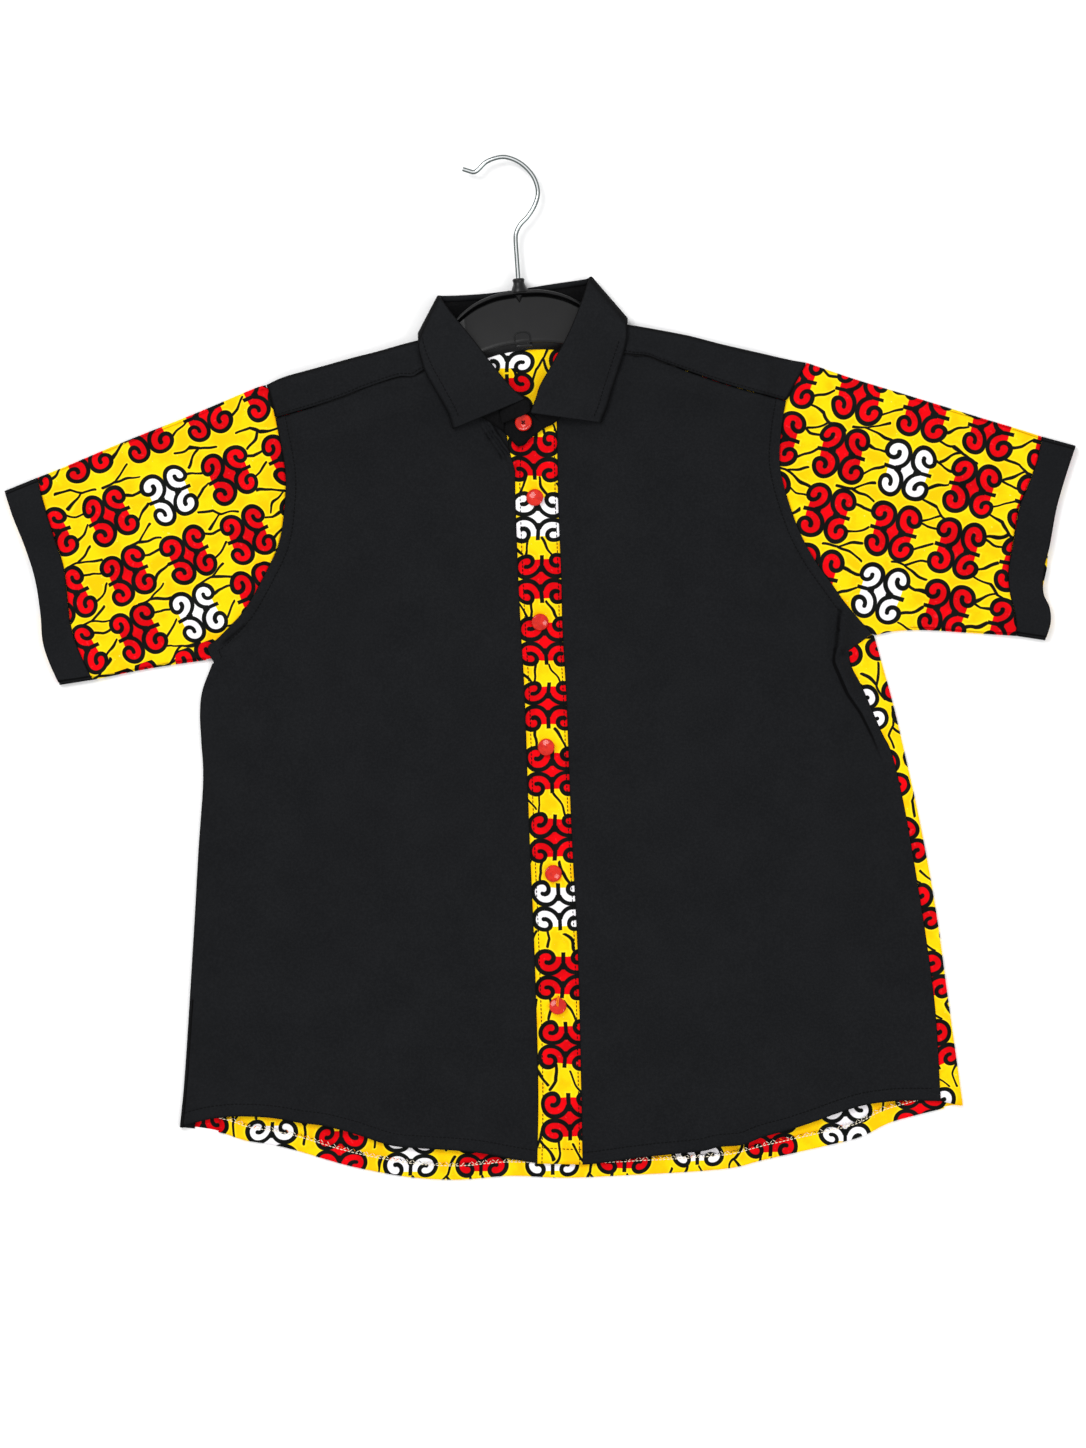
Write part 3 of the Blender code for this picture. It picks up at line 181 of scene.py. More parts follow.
# creases listed one by one: start, end, half width and height, negative for a trough
Fold = namedtuple("Fold", "start end half_width height")
FOLDS = [Fold(*row) for row in (
    ((190, 38), (189, 8), 4, 0.9),
    ((191, -6), (212, -44), 5, -1.2),
    ((195.5, 6.2), (203.5, 9.8), 1.1, -2.2),
    ((205, 8), (214, 14), 1.6, 0.9),
    ((-35, 165.2), (-29.9, 156.7), 1.3, 2.6),
    ((-29.9, 156.7), (-21, 143.9), 1.3, 2.6),
    ((-38.8, 163), (-33.7, 154.5), 1.4, 2.1),
    ((-33.7, 154.5), (-24.8, 141.7), 1.4, 2.1),
    ((-24.8, 141.7), (-21, 128), 2.2, 1.2),
    ((-222, 24), (-204, 31), 2, 1.3),
    ((-56, 152), (-30, 112), 6, 0.9),
    ((-208, 17), (-196, 27), 2.2, -1.7),
    ((-208, 26), (-216, 12), 2.6, 1.3),
    ((-214, 6), (-192, 14), 3, 1),
    ((-221, -14), (-206, 2), 2.6, -1.2),
    ((-220, -46), (-203, -26), 4, 0.9),
    ((-118, 186), (-78, 194), 4, 1.4),
    ((-108, 206), (-80, 199), 3.4, -1.1),
    ((62, 212), (110, 200), 4.4, 1.3),
    ((64, 208), (92, 196), 2.6, -1),
    ((102, 216), (106, 208), 3, -0.9),
    ((-60, -120), (-36, -20), 16, 0.8),
    ((60, 60), (150, 20), 18, 0.8),
    ((-170, 60), (-60, 110), 16, 0.7),
    ((-150, -190), (-120, 60), 26, 0.9),
    ((90, -210), (110, 40), 28, 0.9),
    ((190, -230), (205, -80), 20, 0.8),
    ((-262, 36), (-236, 128), 12, 1),
    ((228, 66), (262, 140), 12, 1),
)]

# the flap folded over at the right underarm: its edge from the hem end up, and how high it stands there
FLAP_EDGE = [
    ((232, -72), 0), ((221, -45), 2.4), ((213.5, -30), 3.6), ((204.7, -17.3), 4.6), ((195, 5), 5),
    ((197.2, 13.3), 4.8), ((199.3, 34.7), 4.4), ((201.5, 42), 1.6), ((203, 46), 0),
]
FLAP_WIDTH = 9
CORNER_POINTS = 14      # points of an outline over which it turns to the direction of a corner

# the collar round the neck: turn of its opening in degrees, then points on the neck seam, the fold and the edge
Station = namedtuple("Station", "turn neck fold edge")
COLLAR = [Station(*row) for row in (
    (90, (-20.5, 155, 4.4), (-10.5, 179, 9), (-58, 158.9, 4.9)),
    (90, (-34, 164, 5), (-17.5, 184.5, 10.8), (-61, 168.6, 5.6)),
    (90, (-50, 173.5, 6.4), (-30, 198.8, 13.2), (-68.5, 182.5, 8)),
    (90, (-63, 187.5, 8.6), (-46, 219.4, 15.4), (-76, 196, 11)),
    (90, (-70.4, 201, 10.8), (-60.5, 237, 15.8), (-79.8, 207.5, 13)),
    (48, (-70.6, 213, 12.2), (-65.8, 244.6, 14.2), (-80.6, 215.6, 13.4)),
    (0, (-68.8, 222.6, 7), (-67.2, 247.2, 8.6), (-80.6, 223.2, 6.8)),
    (-48, (-64.6, 222, 3.4), (-64.8, 247.4, 3.2), (-78, 219, 1.6)),
    (-90, (-54, 218.6, 2.3), (-54, 247.8, 1.4), (-68, 212, 0.6)),
    (-90, (-36, 216.2, 2.3), (-36, 249, 1.4), (-40, 209, 0.6)),
    (-90, (-12, 216, 2.3), (-14, 251.8, 1.4), (-12, 209, 0.6)),
    (-90, (14, 219, 2.3), (10, 255.6, 1.4), (18, 212, 0.6)),
    (-90, (32, 224.4, 2.3), (24, 257.6, 1.4), (42, 218.5, 0.6)),
    (-48, (42.5, 230.5, 3.2), (31.4, 258.8, 3.2), (54, 229, 1.6)),
    (0, (46.8, 232.6, 7), (33.6, 259.6, 8.6), (57.6, 233, 6.8)),
    (48, (48.4, 225.5, 12.6), (31.8, 254.6, 14.2), (57.8, 226, 13.4)),
    (90, (47.6, 210.5, 10.8), (28.2, 243.6, 15.6), (57, 214.6, 13)),
    (90, (41.6, 196.6, 9.4), (19.6, 222.6, 15.4), (52.4, 198.8, 11)),
    (90, (31.6, 182.6, 8), (9.6, 203.8, 13.6), (47, 181.8, 8.6)),
    (90, (19.6, 171.8, 7), (0.8, 188.4, 12.2), (44.8, 173.6, 6.8)),
    (90, (9, 162.6, 6.8), (-2.6, 178.6, 12.2), (41.8, 166.4, 5.6)),
    (90, (4.6, 160.6, 6.8), (-6, 169.6, 12.6), (41, 163.4, 5.6)),
)]
FOLD_ROLL = 0.8
LEAF_INNER_LEG = 2.6
LEAF_CROWN = 1.6
LEAF_CLEARANCE = 1.6
COLLAR_WALL = 1.1
TAB_NECK = [(-2, 156, 7.4), (-8.4, 151, 7.4), (-14.2, 147.2, 7.3), (-18.6, 151, 7.1), (-23.4, 156.6, 7)]
TAB_TOP = [(-6.8, 173.6, 8.4), (-9, 176.4, 8.2), (-12.4, 178.6, 8), (-17.4, 178, 7.8), (-22.4, 172, 7.2)]
FLAP = [(-25.5, 162.4, 8.4), (-19, 165, 10.6), (-12, 167.4, 11.9), (-6.4, 170.8, 11.6)]
FLAP_BACK = [(-27, 171, 8), (-21, 177, 8.4), (-13, 180, 8.8), (-7, 177, 9.4)]

Button = namedtuple("Button", "x y tilt_x tilt_y")
BUTTONS = [Button(*row) for row in (
    (-3.3, 113.3, -7.8, -8.3),
    (-0.1, 30.7, 9.5, 6.8),
    (4.4, -52.8, -4.2, -13),
    (8.7, -136.8, 0.5, 10.5),
    (11.9, -225.3, -12, -1.5),
)]
COLLAR_BUTTON = (-10.8, 163.2)

# where the print lies on each piece, in photograph pixels: the centre of a white motif, the turn of its stem
# in degrees, the steps to the next motif along the stem and to the row below, how each step grows with its
# square, every how many motifs one is white both ways, and the size of the motifs
Print = namedtuple("Print", "centre turn step_along step_down bend_along bend_down white_along white_down size")
PRINTS = {
    "sleeve_left": Print((170.3, 495.5), 25, (60, -20.5), (22.3, 61), (0, 0), (-4, -1.2), 3, 2, 1),
    "sleeve_right": Print((906.8, 471), -15, (65.3, 17.6), (-16.5, 59.3), (0, 0), (1.6, 0.8), 3, 2, 1.07),
    "placket": Print((538, 517.2), 90, (3.45, 61), (64, 1), (0, 0.62), (0, 0), 6, 1, 1.04),
    "back": Print((410.5, 1153), 90, (0.8, 66), (70.1, 2.1), (0, 0), (0.4, -1.2), 3, 2, 1),
    "side": Print((857.5, 713), 112, (23.5, 65.5), (54, -16), (-1.8, 0.3), (0, 0), 6, 2, 1),
    "neck": Print((507, 350.3), 90, (0, 46.5), (67.5, -1), (0, 0), (0, 0), 3, 2, 1),
    "cuff": Print((1085.6, 601.7), -15, (65.4, 18.4), (-18.2, 65), (0, 0), (0, 0), 3, 2, 1),
}


def as_array(points):
    return np.array(points, float)


def evenly(points, count, spread=None):
    """Points along a polyline, in equal parts or at given shares of its length."""
    points = as_array(points)
    along = np.concatenate([[0], np.cumsum(np.linalg.norm(np.diff(points, axis=0), axis=1))])
    at = along[-1] * (np.linspace(0, 1, count + 1) if spread is None else spread)
    return np.stack([np.interp(at, along, points[:, k]) for k in range(points.shape[1])], axis=1)


def through(points, parts):
    """A Catmull-Rom curve through the points, with each span cut into equal parts."""
    p = as_array(points)
    p = np.concatenate([[2 * p[0] - p[1]], p, [2 * p[-1] - p[-2]]])
    result = []
    t = (np.arange(parts) / parts)[:, None]
    for a, b, c, d in zip(p, p[1:], p[2:], p[3:]):
        result.append(0.5 * (2 * b + (c - a) * t + (2 * a - 5 * b + 4 * c - d) * t * t
                             + (3 * b - a - 3 * c + d) * t ** 3))
    return np.concatenate(result + [[p[-2]]])


def smooth(points, count):
    return evenly(through(points, 16), count)


def inward_normals(curve, inside, corner=None):
    """Unit normals toward a point inside; a corner's own normal is blended in over the last points."""
    along = np.gradient(curve, axis=0)
    normals = np.stack([-along[:, 1], along[:, 0]], axis=1)
    normals /= np.linalg.norm(normals, axis=1)[:, None]
    facing = ((as_array(inside) - curve) * normals).sum(1)
    normals[facing < 0] *= -1
    if corner is not None:
        for k in range(CORNER_POINTS):
            share = 1 - k / CORNER_POINTS
            mixed = normals[-1 - k] * (1 - share) + as_array(corner) * share
            normals[-1 - k] = mixed / np.linalg.norm(mixed)
    return normals


def shrink(curve, toward, distance):
    return curve + inward_normals(curve, toward) * distance


def coons(south, north, west, east, spread=None):
    """A patch between four curves, the first two of which take the ends of the others."""
    south[0], south[-1], north[0], north[-1] = west[0], east[0], west[-1], east[-1]
    u = (np.linspace(0, 1, len(south)) if spread is None else spread)[None, :, None]
    v = np.linspace(0, 1, len(west))[:, None, None]
    ruled = (1 - v) * south[None] + v * north[None] + (1 - u) * west[:, None] + u * east[:, None]
    corners = (1 - v) * ((1 - u) * south[0] + u * south[-1]) + v * ((1 - u) * north[0] + u * north[-1])
    return ruled - corners


def ease(value, low, high):
    t = np.clip((value - low) / (high - low), 0, 1)
    return t * t * (3 - 2 * t)


def away_from(points, line):
    """Distance in plan from each point to a polyline."""
    line = as_array(line)[:, :2]
    flat = points[..., :2].reshape(-1, 2)
    best = np.full(len(flat), 1e9)
    for a, b in zip(line, line[1:]):
        run = b - a
        share = np.clip(((flat - a) @ run) / max(run @ run, 1e-9), 0, 1)
        best = np.minimum(best, np.linalg.norm(flat - a - share[:, None] * run, axis=1))
    return best.reshape(points.shape[:-1])


def ripple(points, length, seed):
    """Smooth uneven waves, about -1 to 1, from a few crossing sines."""
    rng = np.random.default_rng(seed)
    total = np.zeros(points.shape[:-1])
    for _ in range(7):
        angle = rng.uniform(0, math.tau)
        wave = length * rng.uniform(0.7, 1.6)
        phase = rng.uniform(0, math.tau)
        along = points[..., 0] * math.cos(angle) + points[..., 1] * math.sin(angle)
        total += np.sin(along * math.tau / wave + phase)
    return total / 3.2


def hanger_local(points):
    dx, dy = points[..., 0] - HANGER_AXIS[0], points[..., 1] - HANGER_AXIS[1]
    c, s = math.cos(HANGER_TILT), math.sin(HANGER_TILT)
    return dx * c + dy * s, dy * c - dx * s


def hanger_plan(reach, height):
    c, s = math.cos(HANGER_TILT), math.sin(HANGER_TILT)
    return as_array((HANGER_AXIS[0] + reach * c - height * s, HANGER_AXIS[1] + reach * s + height * c))


def top(points):
    """Height of the outer face of the top layer."""
    points = as_array(points)
    reach, height = hanger_local(points)
    lower = np.interp(np.abs(reach), [row.reach for row in HANGER], [row.lower for row in HANGER])
    below = np.maximum(lower - height, 0)
    beyond = np.maximum(np.abs(reach) - HANGER[-1].reach, 0)
    share = np.clip((np.hypot(below, 1.5 * beyond) - TENT_MARGIN) / TENT_REACH, 0, 1)
    z = FLAT + (TENT_TOP - FLAT) * (1 - share) ** 2
    for fold in FOLDS:
        start, run = as_array(fold.start), as_array(fold.end) - as_array(fold.start)
        t = np.clip(((points - start) @ run) / (run @ run), 0, 1)
        nearest = np.linalg.norm(points - start - t[..., None] * run, axis=-1)
        z = z + fold.height * np.exp(-(nearest / fold.half_width) ** 2)
    along = [edge[1] for edge, _ in FLAP_EDGE]
    offset = points[..., 0] - np.interp(points[..., 1], along, [edge[0] for edge, _ in FLAP_EDGE])
    rise = np.interp(points[..., 1], along, [rise for _, rise in FLAP_EDGE])
    z = z + rise * ease(offset, -1.5, 1.3) * np.exp(-(np.maximum(offset, 0) / FLAP_WIDTH) ** 2)
    z = z + 0.35 * (ripple(points, 90, 3) + 0.35 * ripple(points, 31, 5))
    return np.maximum(z, 1.3 + 2.0 * ease(points[..., 1], 132, 138) + 1.6 * bottom(points))


def bottom(points):
    points = as_array(points)
    x, y = points[..., 0], points[..., 1]
    return NECK_LIFT * ease(y, 180, 204) * ease(x, -112, -86) * (1 - ease(x, 64, 92))


def raised(plan, height):
    """Points of a plan at one height, or each at its own."""
    return np.concatenate([plan, np.broadcast_to(height, plan.shape[:-1])[..., None]], axis=-1)


def on(height, plan, rise=0.0):
    return raised(plan, height(plan) + rise)


def from_photo(point):
    return (point[0] - PHOTO_MIDDLE[0]) * PIXEL, (PHOTO_MIDDLE[1] - point[1]) * PIXEL


def half_round(edge, normals, high, low, steps=8):
    """Rows of points of a fold from the top layer round to the bottom one, for every point of its outline."""
    radius = (high - low) / 2
    rows = []
    for k in range(steps + 1):
        angle = math.pi / 2 - math.pi * k / steps
        plan = edge + normals * radius[:, None] * (1 - math.cos(angle))
        rows.append(raised(plan, low + radius * (1 + math.sin(angle))))
    return np.stack(rows, axis=1)


def join(*parts):
    return np.concatenate(parts)


def beside(*parts):
    return np.concatenate(parts, axis=1)


def blend(first, last, shares):
    """Rows of points from each point of one curve to its match on another."""
    return first[:, None] + (last - first)[:, None] * shares[None, :, None]


def shift(points, dx, dy=0.0):
    return [(x + dx, y + dy) for x, y in points]


# meshes

MATERIALS = {}


def add_mesh(name, points, faces, material, node=None, sharp=None):
    mesh = bpy.data.meshes.new(name)
    mesh.from_pydata((as_array(points) * MM).tolist(), [], [list(f) for f in faces])
    mesh.materials.append(MATERIALS[material])
    mesh.shade_smooth()
    if sharp is not None:
        mesh.set_sharp_from_angle(angle=math.radians(sharp))
    item = bpy.data.objects.new(name, mesh)
    bpy.context.scene.collection.objects.link(item)
    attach(item, "root")
    if node:
        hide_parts(node)
    return item


def shell(name, node, grid, material, thickness=CLOTH, present=None, closed=False, flip=False, offset=-1.0,
          second=None):
    """Thin cloth on a grid of outer points; second names another material and tells which faces have it."""
    rows, columns = grid.shape[:2]
    last = columns if closed else columns - 1
    used, faces, other = {}, [], []
    for j in range(rows - 1):
        for i in range(last):
            if present is not None and not present(j, i):
                continue
            n = (i + 1) % columns
            loop = [(j, i), (j, n), (j + 1, n), (j + 1, i)]
            face = [used.setdefault(q, len(used)) for q in loop]
            faces.append(face[::-1] if flip else face)
            other.append(1 if second and second[1](j, i) else 0)
    points = [grid[j, i] for j, i in used]
    item = add_mesh(name, points, faces, material, node)
    if second:
        item.data.materials.append(MATERIALS[second[0]])
        item.data.polygons.foreach_set("material_index", other)
    solid = item.modifiers.new("cloth", "SOLIDIFY")
    solid.thickness = thickness * MM
    solid.offset = offset
    solid.use_even_offset = False
    return item


def side_rounds(outline, spans, corner):
    edge = smooth(outline, spans)
    normals = inward_normals(edge, (0, 0), corner)
    high = top(edge + normals * FLAT / 2)
    return half_round(edge, normals, high, np.zeros(len(edge))), normals


def hem_rise(plan, hem):
    """The doubled cloth of a narrow hem, which ends at its row of stitches."""
    return 0.5 * (1 - ease(away_from(plan, hem), 7.2, 8.6))


def armhole_rise(plan, armhole):
    """The seam allowance under the cloth beside an armhole."""
    away = away_from(plan, armhole)
    return 0.55 * (1 - ease(away, 5.6, 7.2)) * ease(away, -0.5, 1.2)


def build_front_left():
    side, arm_spans, across = 130, 78, 140
    rounds, normals = side_rounds(SIDE_LEFT, side, UNDERARM_LEFT)
    arm = shrink(smooth(ARMHOLE_LEFT[:-1], arm_spans), CHEST, GAP)
    west = join(rounds[:, 0, :2], arm[1:])
    east = smooth(UNDER_LEFT, side + arm_spans) + (0.6, 0)
    south = smooth(HEM_LEFT, across)
    yoke = shrink(smooth(YOKE_LEFT, 84), (-100, 0), GAP)
    north = join(yoke, smooth(NECK_LEFT, across - 84)[1:])
    plan = coons(south, north, west, east)
    flat = on(top, plan)
    flat[..., 2] += hem_rise(plan, HEM_LEFT) + armhole_rise(plan, ARMHOLE_LEFT[:-1])
    under = rounds[:, -1] + raised(normals * UNDER_STRIP, 0)
    wrap = beside(under[:, None], rounds[:, :0:-1])
    columns = wrap.shape[1]
    pad = np.repeat(flat[side + 1:, :1], columns, axis=1)
    shell("cloth_front_left", "front_left", beside(join(wrap, pad), flat), "black_cotton",
          present=lambda j, i: i >= columns or j < side)


def build_front_right():
    seam_spans, tuck, arm_spans, across = 140, 8, 76, 180
    seam = smooth(SEAM_RIGHT, seam_spans) + (-GAP, 0)
    corner = side_rounds(SIDE_RIGHT, seam_spans, UNDERARM_RIGHT)[0][-1, 0, :2]
    arm = shrink(smooth([corner + (0.2, 0)] + ARMHOLE_RIGHT[1:-1], arm_spans), CHEST, GAP)
    arm[0] = corner + (-0.3, 0.35)
    seam[-1] = as_array(SEAM_RIGHT[-1]) + (-0.3, 0.35)
    east = join(seam, evenly([seam[-1], arm[0]], tuck)[1:], arm[1:])
    west = smooth(UNDER_RIGHT, seam_spans + tuck + arm_spans) - (0.6, 0)
    spread = np.linspace(0, 1, across + 1)
    spread = 0.35 * spread + 0.65 * (1 - (1 - spread) ** 1.6)
    south = evenly(smooth(HEM_RIGHT, 400)[::-1], across, spread)
    yoke = shrink(smooth(YOKE_RIGHT, 240), (100, 0), GAP)
    north = evenly(join(yoke, smooth(NECK_RIGHT, 140)[1:])[::-1], across, spread)
    plan = coons(south, north, west, east, spread)
    flat = on(top, plan)
    flat[..., 2] += hem_rise(plan, HEM_RIGHT) + armhole_rise(plan, ARMHOLE_RIGHT[:-1])
    shell("cloth_front_right", "front_right", flat, "black_cotton")


def cut_at(outline, height):
    result = [outline[0]]
    for a, b in zip(outline, outline[1:]):
        if b[1] >= height:
            share = (height - a[1]) / (b[1] - a[1])
            result.append((a[0] + share * (b[0] - a[0]), height))
            break
        result.append(b)
    return result


def beyond(outline, height):
    return [cut_at(outline, height)[-1]] + [p for p in outline if p[1] > height + 0.5]


def build_back():
    side, arm_spans, across, steps = 64, 24, 84, 8
    left, left_normals = side_rounds(SIDE_LEFT, side, UNDERARM_LEFT)
    arm_left = shrink(smooth(cut_at(ARMHOLE_LEFT, BACK_YOKE[0][1]), arm_spans), CHEST, GAP)
    inner = (left[:, -1, :2] + left_normals * (UNDER_STRIP + GAP))[:-1]
    west = join(inner, [arm_left[0] + (9.5, 6.0)], arm_left[1:])
    rounds, _ = side_rounds(SIDE_RIGHT, side, UNDERARM_RIGHT)
    arm_right = shrink(smooth(cut_at(ARMHOLE_RIGHT, BACK_YOKE[-1][1]), arm_spans), CHEST, GAP)
    east = join(rounds[:, -1, :2], arm_right[1:])
    radius = HEM_HEIGHT / 2
    hem = smooth(HEM_BACK, across)
    hem_normals = inward_normals(hem, (0, 0))
    south = hem + hem_normals * radius
    west[0] = (west[0][0], south[0][1])
    north = shrink(smooth(BACK_YOKE, across), (0, 0), GAP)
    flat = on(bottom, coons(south, north, west, east))
    seam = smooth(SEAM_RIGHT, side)
    arc = rounds[:, :-1][:, ::-1]
    strip = on(top, blend(arc[:, -1, :2], seam, np.linspace(0, 1, 6)[1:]))
    wrap = beside(arc, strip)
    pad = np.repeat(flat[side + 1:, -1:], wrap.shape[1], axis=1)
    body = beside(flat, join(wrap, pad))
    columns = flat.shape[1]
    depths = np.array([1, 0.75, 0.5, 0.25]) * HEM_WIDTH
    hem_rows = [raised(hem + hem_normals * (radius + depth), HEM_HEIGHT) for depth in depths]
    arcs = half_round(hem, hem_normals, np.full(len(hem), HEM_HEIGHT), np.zeros(len(hem)), steps)
    hem_rows = np.stack(hem_rows + [arcs[:, k] for k in range(steps)])
    filler = np.repeat(hem_rows[:, -1:], body.shape[1] - columns, axis=1)
    grid = join(beside(hem_rows, filler), body)
    first = len(hem_rows)

    def present(j, i):
        if j < first:
            return 4 <= i < columns - 3
        return i < columns - 1 or j - first < side

    shell("cloth_back", "back", grid, "print_back", present=present, flip=True,
          second=("print_side", lambda j, i: i >= columns - 1))


def shoulder_rounds(outline, spans):
    edge = smooth(outline, spans)
    normals = inward_normals(edge, (0, 0))
    probe = edge + normals * 4
    return half_round(edge, normals, top(probe), bottom(probe), 12)


def build_yoke():
    spans, neck_spans, front_rows, back_rows, steps = 46, 30, 12, 12, 12
    left, right = shoulder_rounds(SHOULDER_LEFT, spans), shoulder_rounds(SHOULDER_RIGHT, spans)
    left[0, :, 0] += GAP
    right[0, :, 0] -= GAP
    north = join(left[:, -1, :2], smooth(NECK_BACK, neck_spans)[1:-1], right[::-1, -1, :2])
    south = shrink(smooth(BACK_YOKE, len(north) - 1), (0, 200), GAP)
    west = shrink(smooth(beyond(ARMHOLE_LEFT, BACK_YOKE[0][1]), back_rows), CHEST, GAP)
    east = shrink(smooth(beyond(ARMHOLE_RIGHT, BACK_YOKE[-1][1]), back_rows), CHEST, GAP)
    west[-1], east[-1] = north[0], north[-1]
    plan = coons(south, north, west, east)
    fronts = []
    for rounds, seam, neck, inset in ((left, YOKE_LEFT, NECK_SIDE_LEFT, GAP),
                                      (right, YOKE_RIGHT, NECK_SIDE_RIGHT, -GAP)):
        low = shrink(smooth(seam, spans), (0, 300), GAP)
        low[0, 0] += inset
        high = rounds[:, 0, :2]
        outer = evenly([low[0], high[0]], front_rows)
        inner = smooth([low[-1], neck[1], high[-1]], front_rows)
        cells = coons(low, high, outer, inner)
        surface = on(top, cells)
        surface[..., 2] += 0.7 * (1 - ease(away_from(cells, seam), 3.0, 9.0))
        fronts.append(surface)
    total = plan.shape[1]
    rows = []
    pairs = list(zip(*fronts)) + [(left[:, k], right[:, k]) for k in range(1, steps)]
    for a, b in pairs:
        rows.append(join(a, np.repeat(a[-1:], total - 2 * len(a), axis=0), b[::-1]))
    for j in range(back_rows, -1, -1):
        rows.append(on(bottom, plan[j]))
    shell("cloth_yoke", "yoke", np.stack(rows), "black_cotton",
          present=lambda j, i: j >= len(pairs) or i < spans or i >= spans + neck_spans)


def build_yoke_facing():
    rows, spans, neck_spans = 24, 24, 40
    left = smooth(SHOULDER_LEFT, spans) - (0, 6.5)
    right = smooth(SHOULDER_RIGHT, spans) - (0, 6.5)
    left[0] += (3, 0)
    right[0] -= (3, 0)
    neck = smooth(NECK_BACK, neck_spans) - (0, 1.0)
    left[-1], right[-1] = neck[0] + (2.0, -3.0), neck[-1] + (-2.0, -3.0)
    north = join(left, neck[1:-1], right[::-1])
    south = smooth(BACK_YOKE, len(north) - 1) + (0, 1.0)
    south[0] += (3, 0)
    south[-1] -= (3, 0)
    plan = coons(south, north, evenly([south[0], north[0]], rows), evenly([south[-1], north[-1]], rows))
    grid = on(bottom, plan)
    grid[..., 2] += 2.3 + 0.5 * bottom(plan)
    shell("cloth_yoke_facing", "yoke_facing", grid, "print_neck")


def build_plackets():
    rows, across = 150, 12
    shares = np.linspace(0, 1, across + 1)
    for name, left, right, inset, rise in (("placket_under", UNDER_LEFT, UNDER_RIGHT, 0, -0.4),
                                           ("placket", PLACKET_LEFT, PLACKET_RIGHT, 1.2, 1.3)):
        plan = blend(smooth(left, rows), smooth(right, rows) - (inset, 0), shares)
        grid = on(top, plan, rise)
        if name == "placket":
            from_edge = np.minimum(shares, 1 - shares) * PLACKET_WIDTH
            grid[..., 2] += 0.15 * ripple(plan, 12, 8) - 0.35 * (1 - ease(from_edge, 0, 3.2))
        shell("cloth_" + name, name, grid, "print_placket")


def tube(name, node, material, low, high, start, end, spans, across, height, puffs, flip, corner=None,
         inset=0.0, floor=0.0):
    """A flattened tube of cloth between its two long folds, from one open end to the other."""
    middle = (as_array(start)[len(start) // 2] + as_array(end)[len(end) // 2]) / 2
    rounds = []
    for fold, turned in ((low, corner), (high, None)):
        line = smooth(fold, spans)
        normals = inward_normals(line, middle, turned)
        line = line + normals * inset
        rounds.append(half_round(line, normals, height(line + normals * 2), np.full(spans + 1, floor)))
    low_round, high_round = rounds
    west, east = smooth(start, across), smooth(end, across)
    south, north = low_round[:, 0, :2], high_round[:, 0, :2]
    west[0], west[-1], east[0], east[-1] = south[0], north[0], south[-1], north[-1]
    plan = coons(south, north, west, east).transpose(1, 0, 2)
    s = np.linspace(0, 1, spans + 1)[:, None]
    t = np.linspace(0, 1, across + 1)[None]
    puff = (puffs[0] * (1 - s) + puffs[1] * s + puffs[2] * np.sin(math.pi * s)) * np.sin(math.pi * t)
    upper, lower = on(height, plan, puff), raised(plan, floor)
    upper[:, 0], upper[:, -1] = low_round[:, 0], high_round[:, 0]
    lower[:, 0], lower[:, -1] = low_round[:, -1], high_round[:, -1]
    rings = beside(upper, high_round[:, 1:-1], lower[:, ::-1], low_round[:, 1:-1][:, ::-1])
    shell(name, node, rings, material, closed=True, flip=flip)


def sleeve_and_cuff(side, flip, low, high, seam, armhole, edge, corner, way):
    gap = way * GAP / 2

    def height(plan):
        near = 1 - ease(away_from(plan, seam), 2, 20)
        tucked = 1 - ease(away_from(plan, armhole), 1.2, 3)
        return top(plan) + (CUFF_HEIGHT - FLAT - 0.5) * near - 0.75 * tucked

    def cuff_height(plan):
        return CUFF_HEIGHT + 0.12 * ripple(as_array(plan), 26, 21)

    def facing_height(plan):
        return np.full(as_array(plan).shape[:-1], CUFF_HEIGHT - CUFF_WALL)

    def cuff_fold(outer, corner):
        """The fold of a cuff at one end of its edge, from the edge through the middle to the seam."""
        return [outer, tuple((as_array(outer) + corner) / 2), (corner[0] - gap, corner[1])]

    sleeve_low = shift(low[:1], gap) + low[1:-1] + shift(low[-1:], -way * 0.6, 0.2)
    sleeve_high = shift(high[:1], gap) + high[1:-1] + shift(high[-1:], -way * GAP)
    tube("cloth_sleeve_" + side, "sleeve_" + side, "print_sleeve_" + side, sleeve_low, sleeve_high,
         shift(seam, gap), shift(armhole, way * 1.1), 64, 96, height, (0.6, 0, 1.6), flip, corner=corner)
    inner = shift(edge, way * 0.5)
    if side == "right":
        inner[4:5] = shift(edge[4:5], CUFF_PEEP)
    cuff_seam, puffs = shift(seam, -gap), (0.5, 0.6, 0.2)
    tube("cloth_cuff_" + side, "cuff_" + side, "black_cotton", cuff_fold(edge[0], low[0]),
         cuff_fold(edge[-1], high[0]), edge, cuff_seam, 14, 72, cuff_height, puffs, flip)
    tube("cloth_cuff_facing_" + side, "cuff_facing_" + side, "print_cuff", cuff_fold(inner[0], low[0]),
         cuff_fold(inner[-1], high[0]), inner, cuff_seam, 10, 48, facing_height, puffs, flip,
         inset=CUFF_WALL, floor=CUFF_WALL)


def build_sleeves():
    sleeve_and_cuff("left", True, SLEEVE_LOW_LEFT, SLEEVE_TOP_LEFT, CUFF_SEAM_LEFT, ARMHOLE_LEFT,
                    CUFF_EDGE_LEFT, UNDERARM_LEFT, 1)
    sleeve_and_cuff("right", False, SLEEVE_LOW_RIGHT, SLEEVE_TOP_RIGHT, CUFF_SEAM_RIGHT, ARMHOLE_RIGHT,
                    CUFF_EDGE_RIGHT, UNDERARM_RIGHT, -1)


def unit(v):
    return v / np.linalg.norm(v)


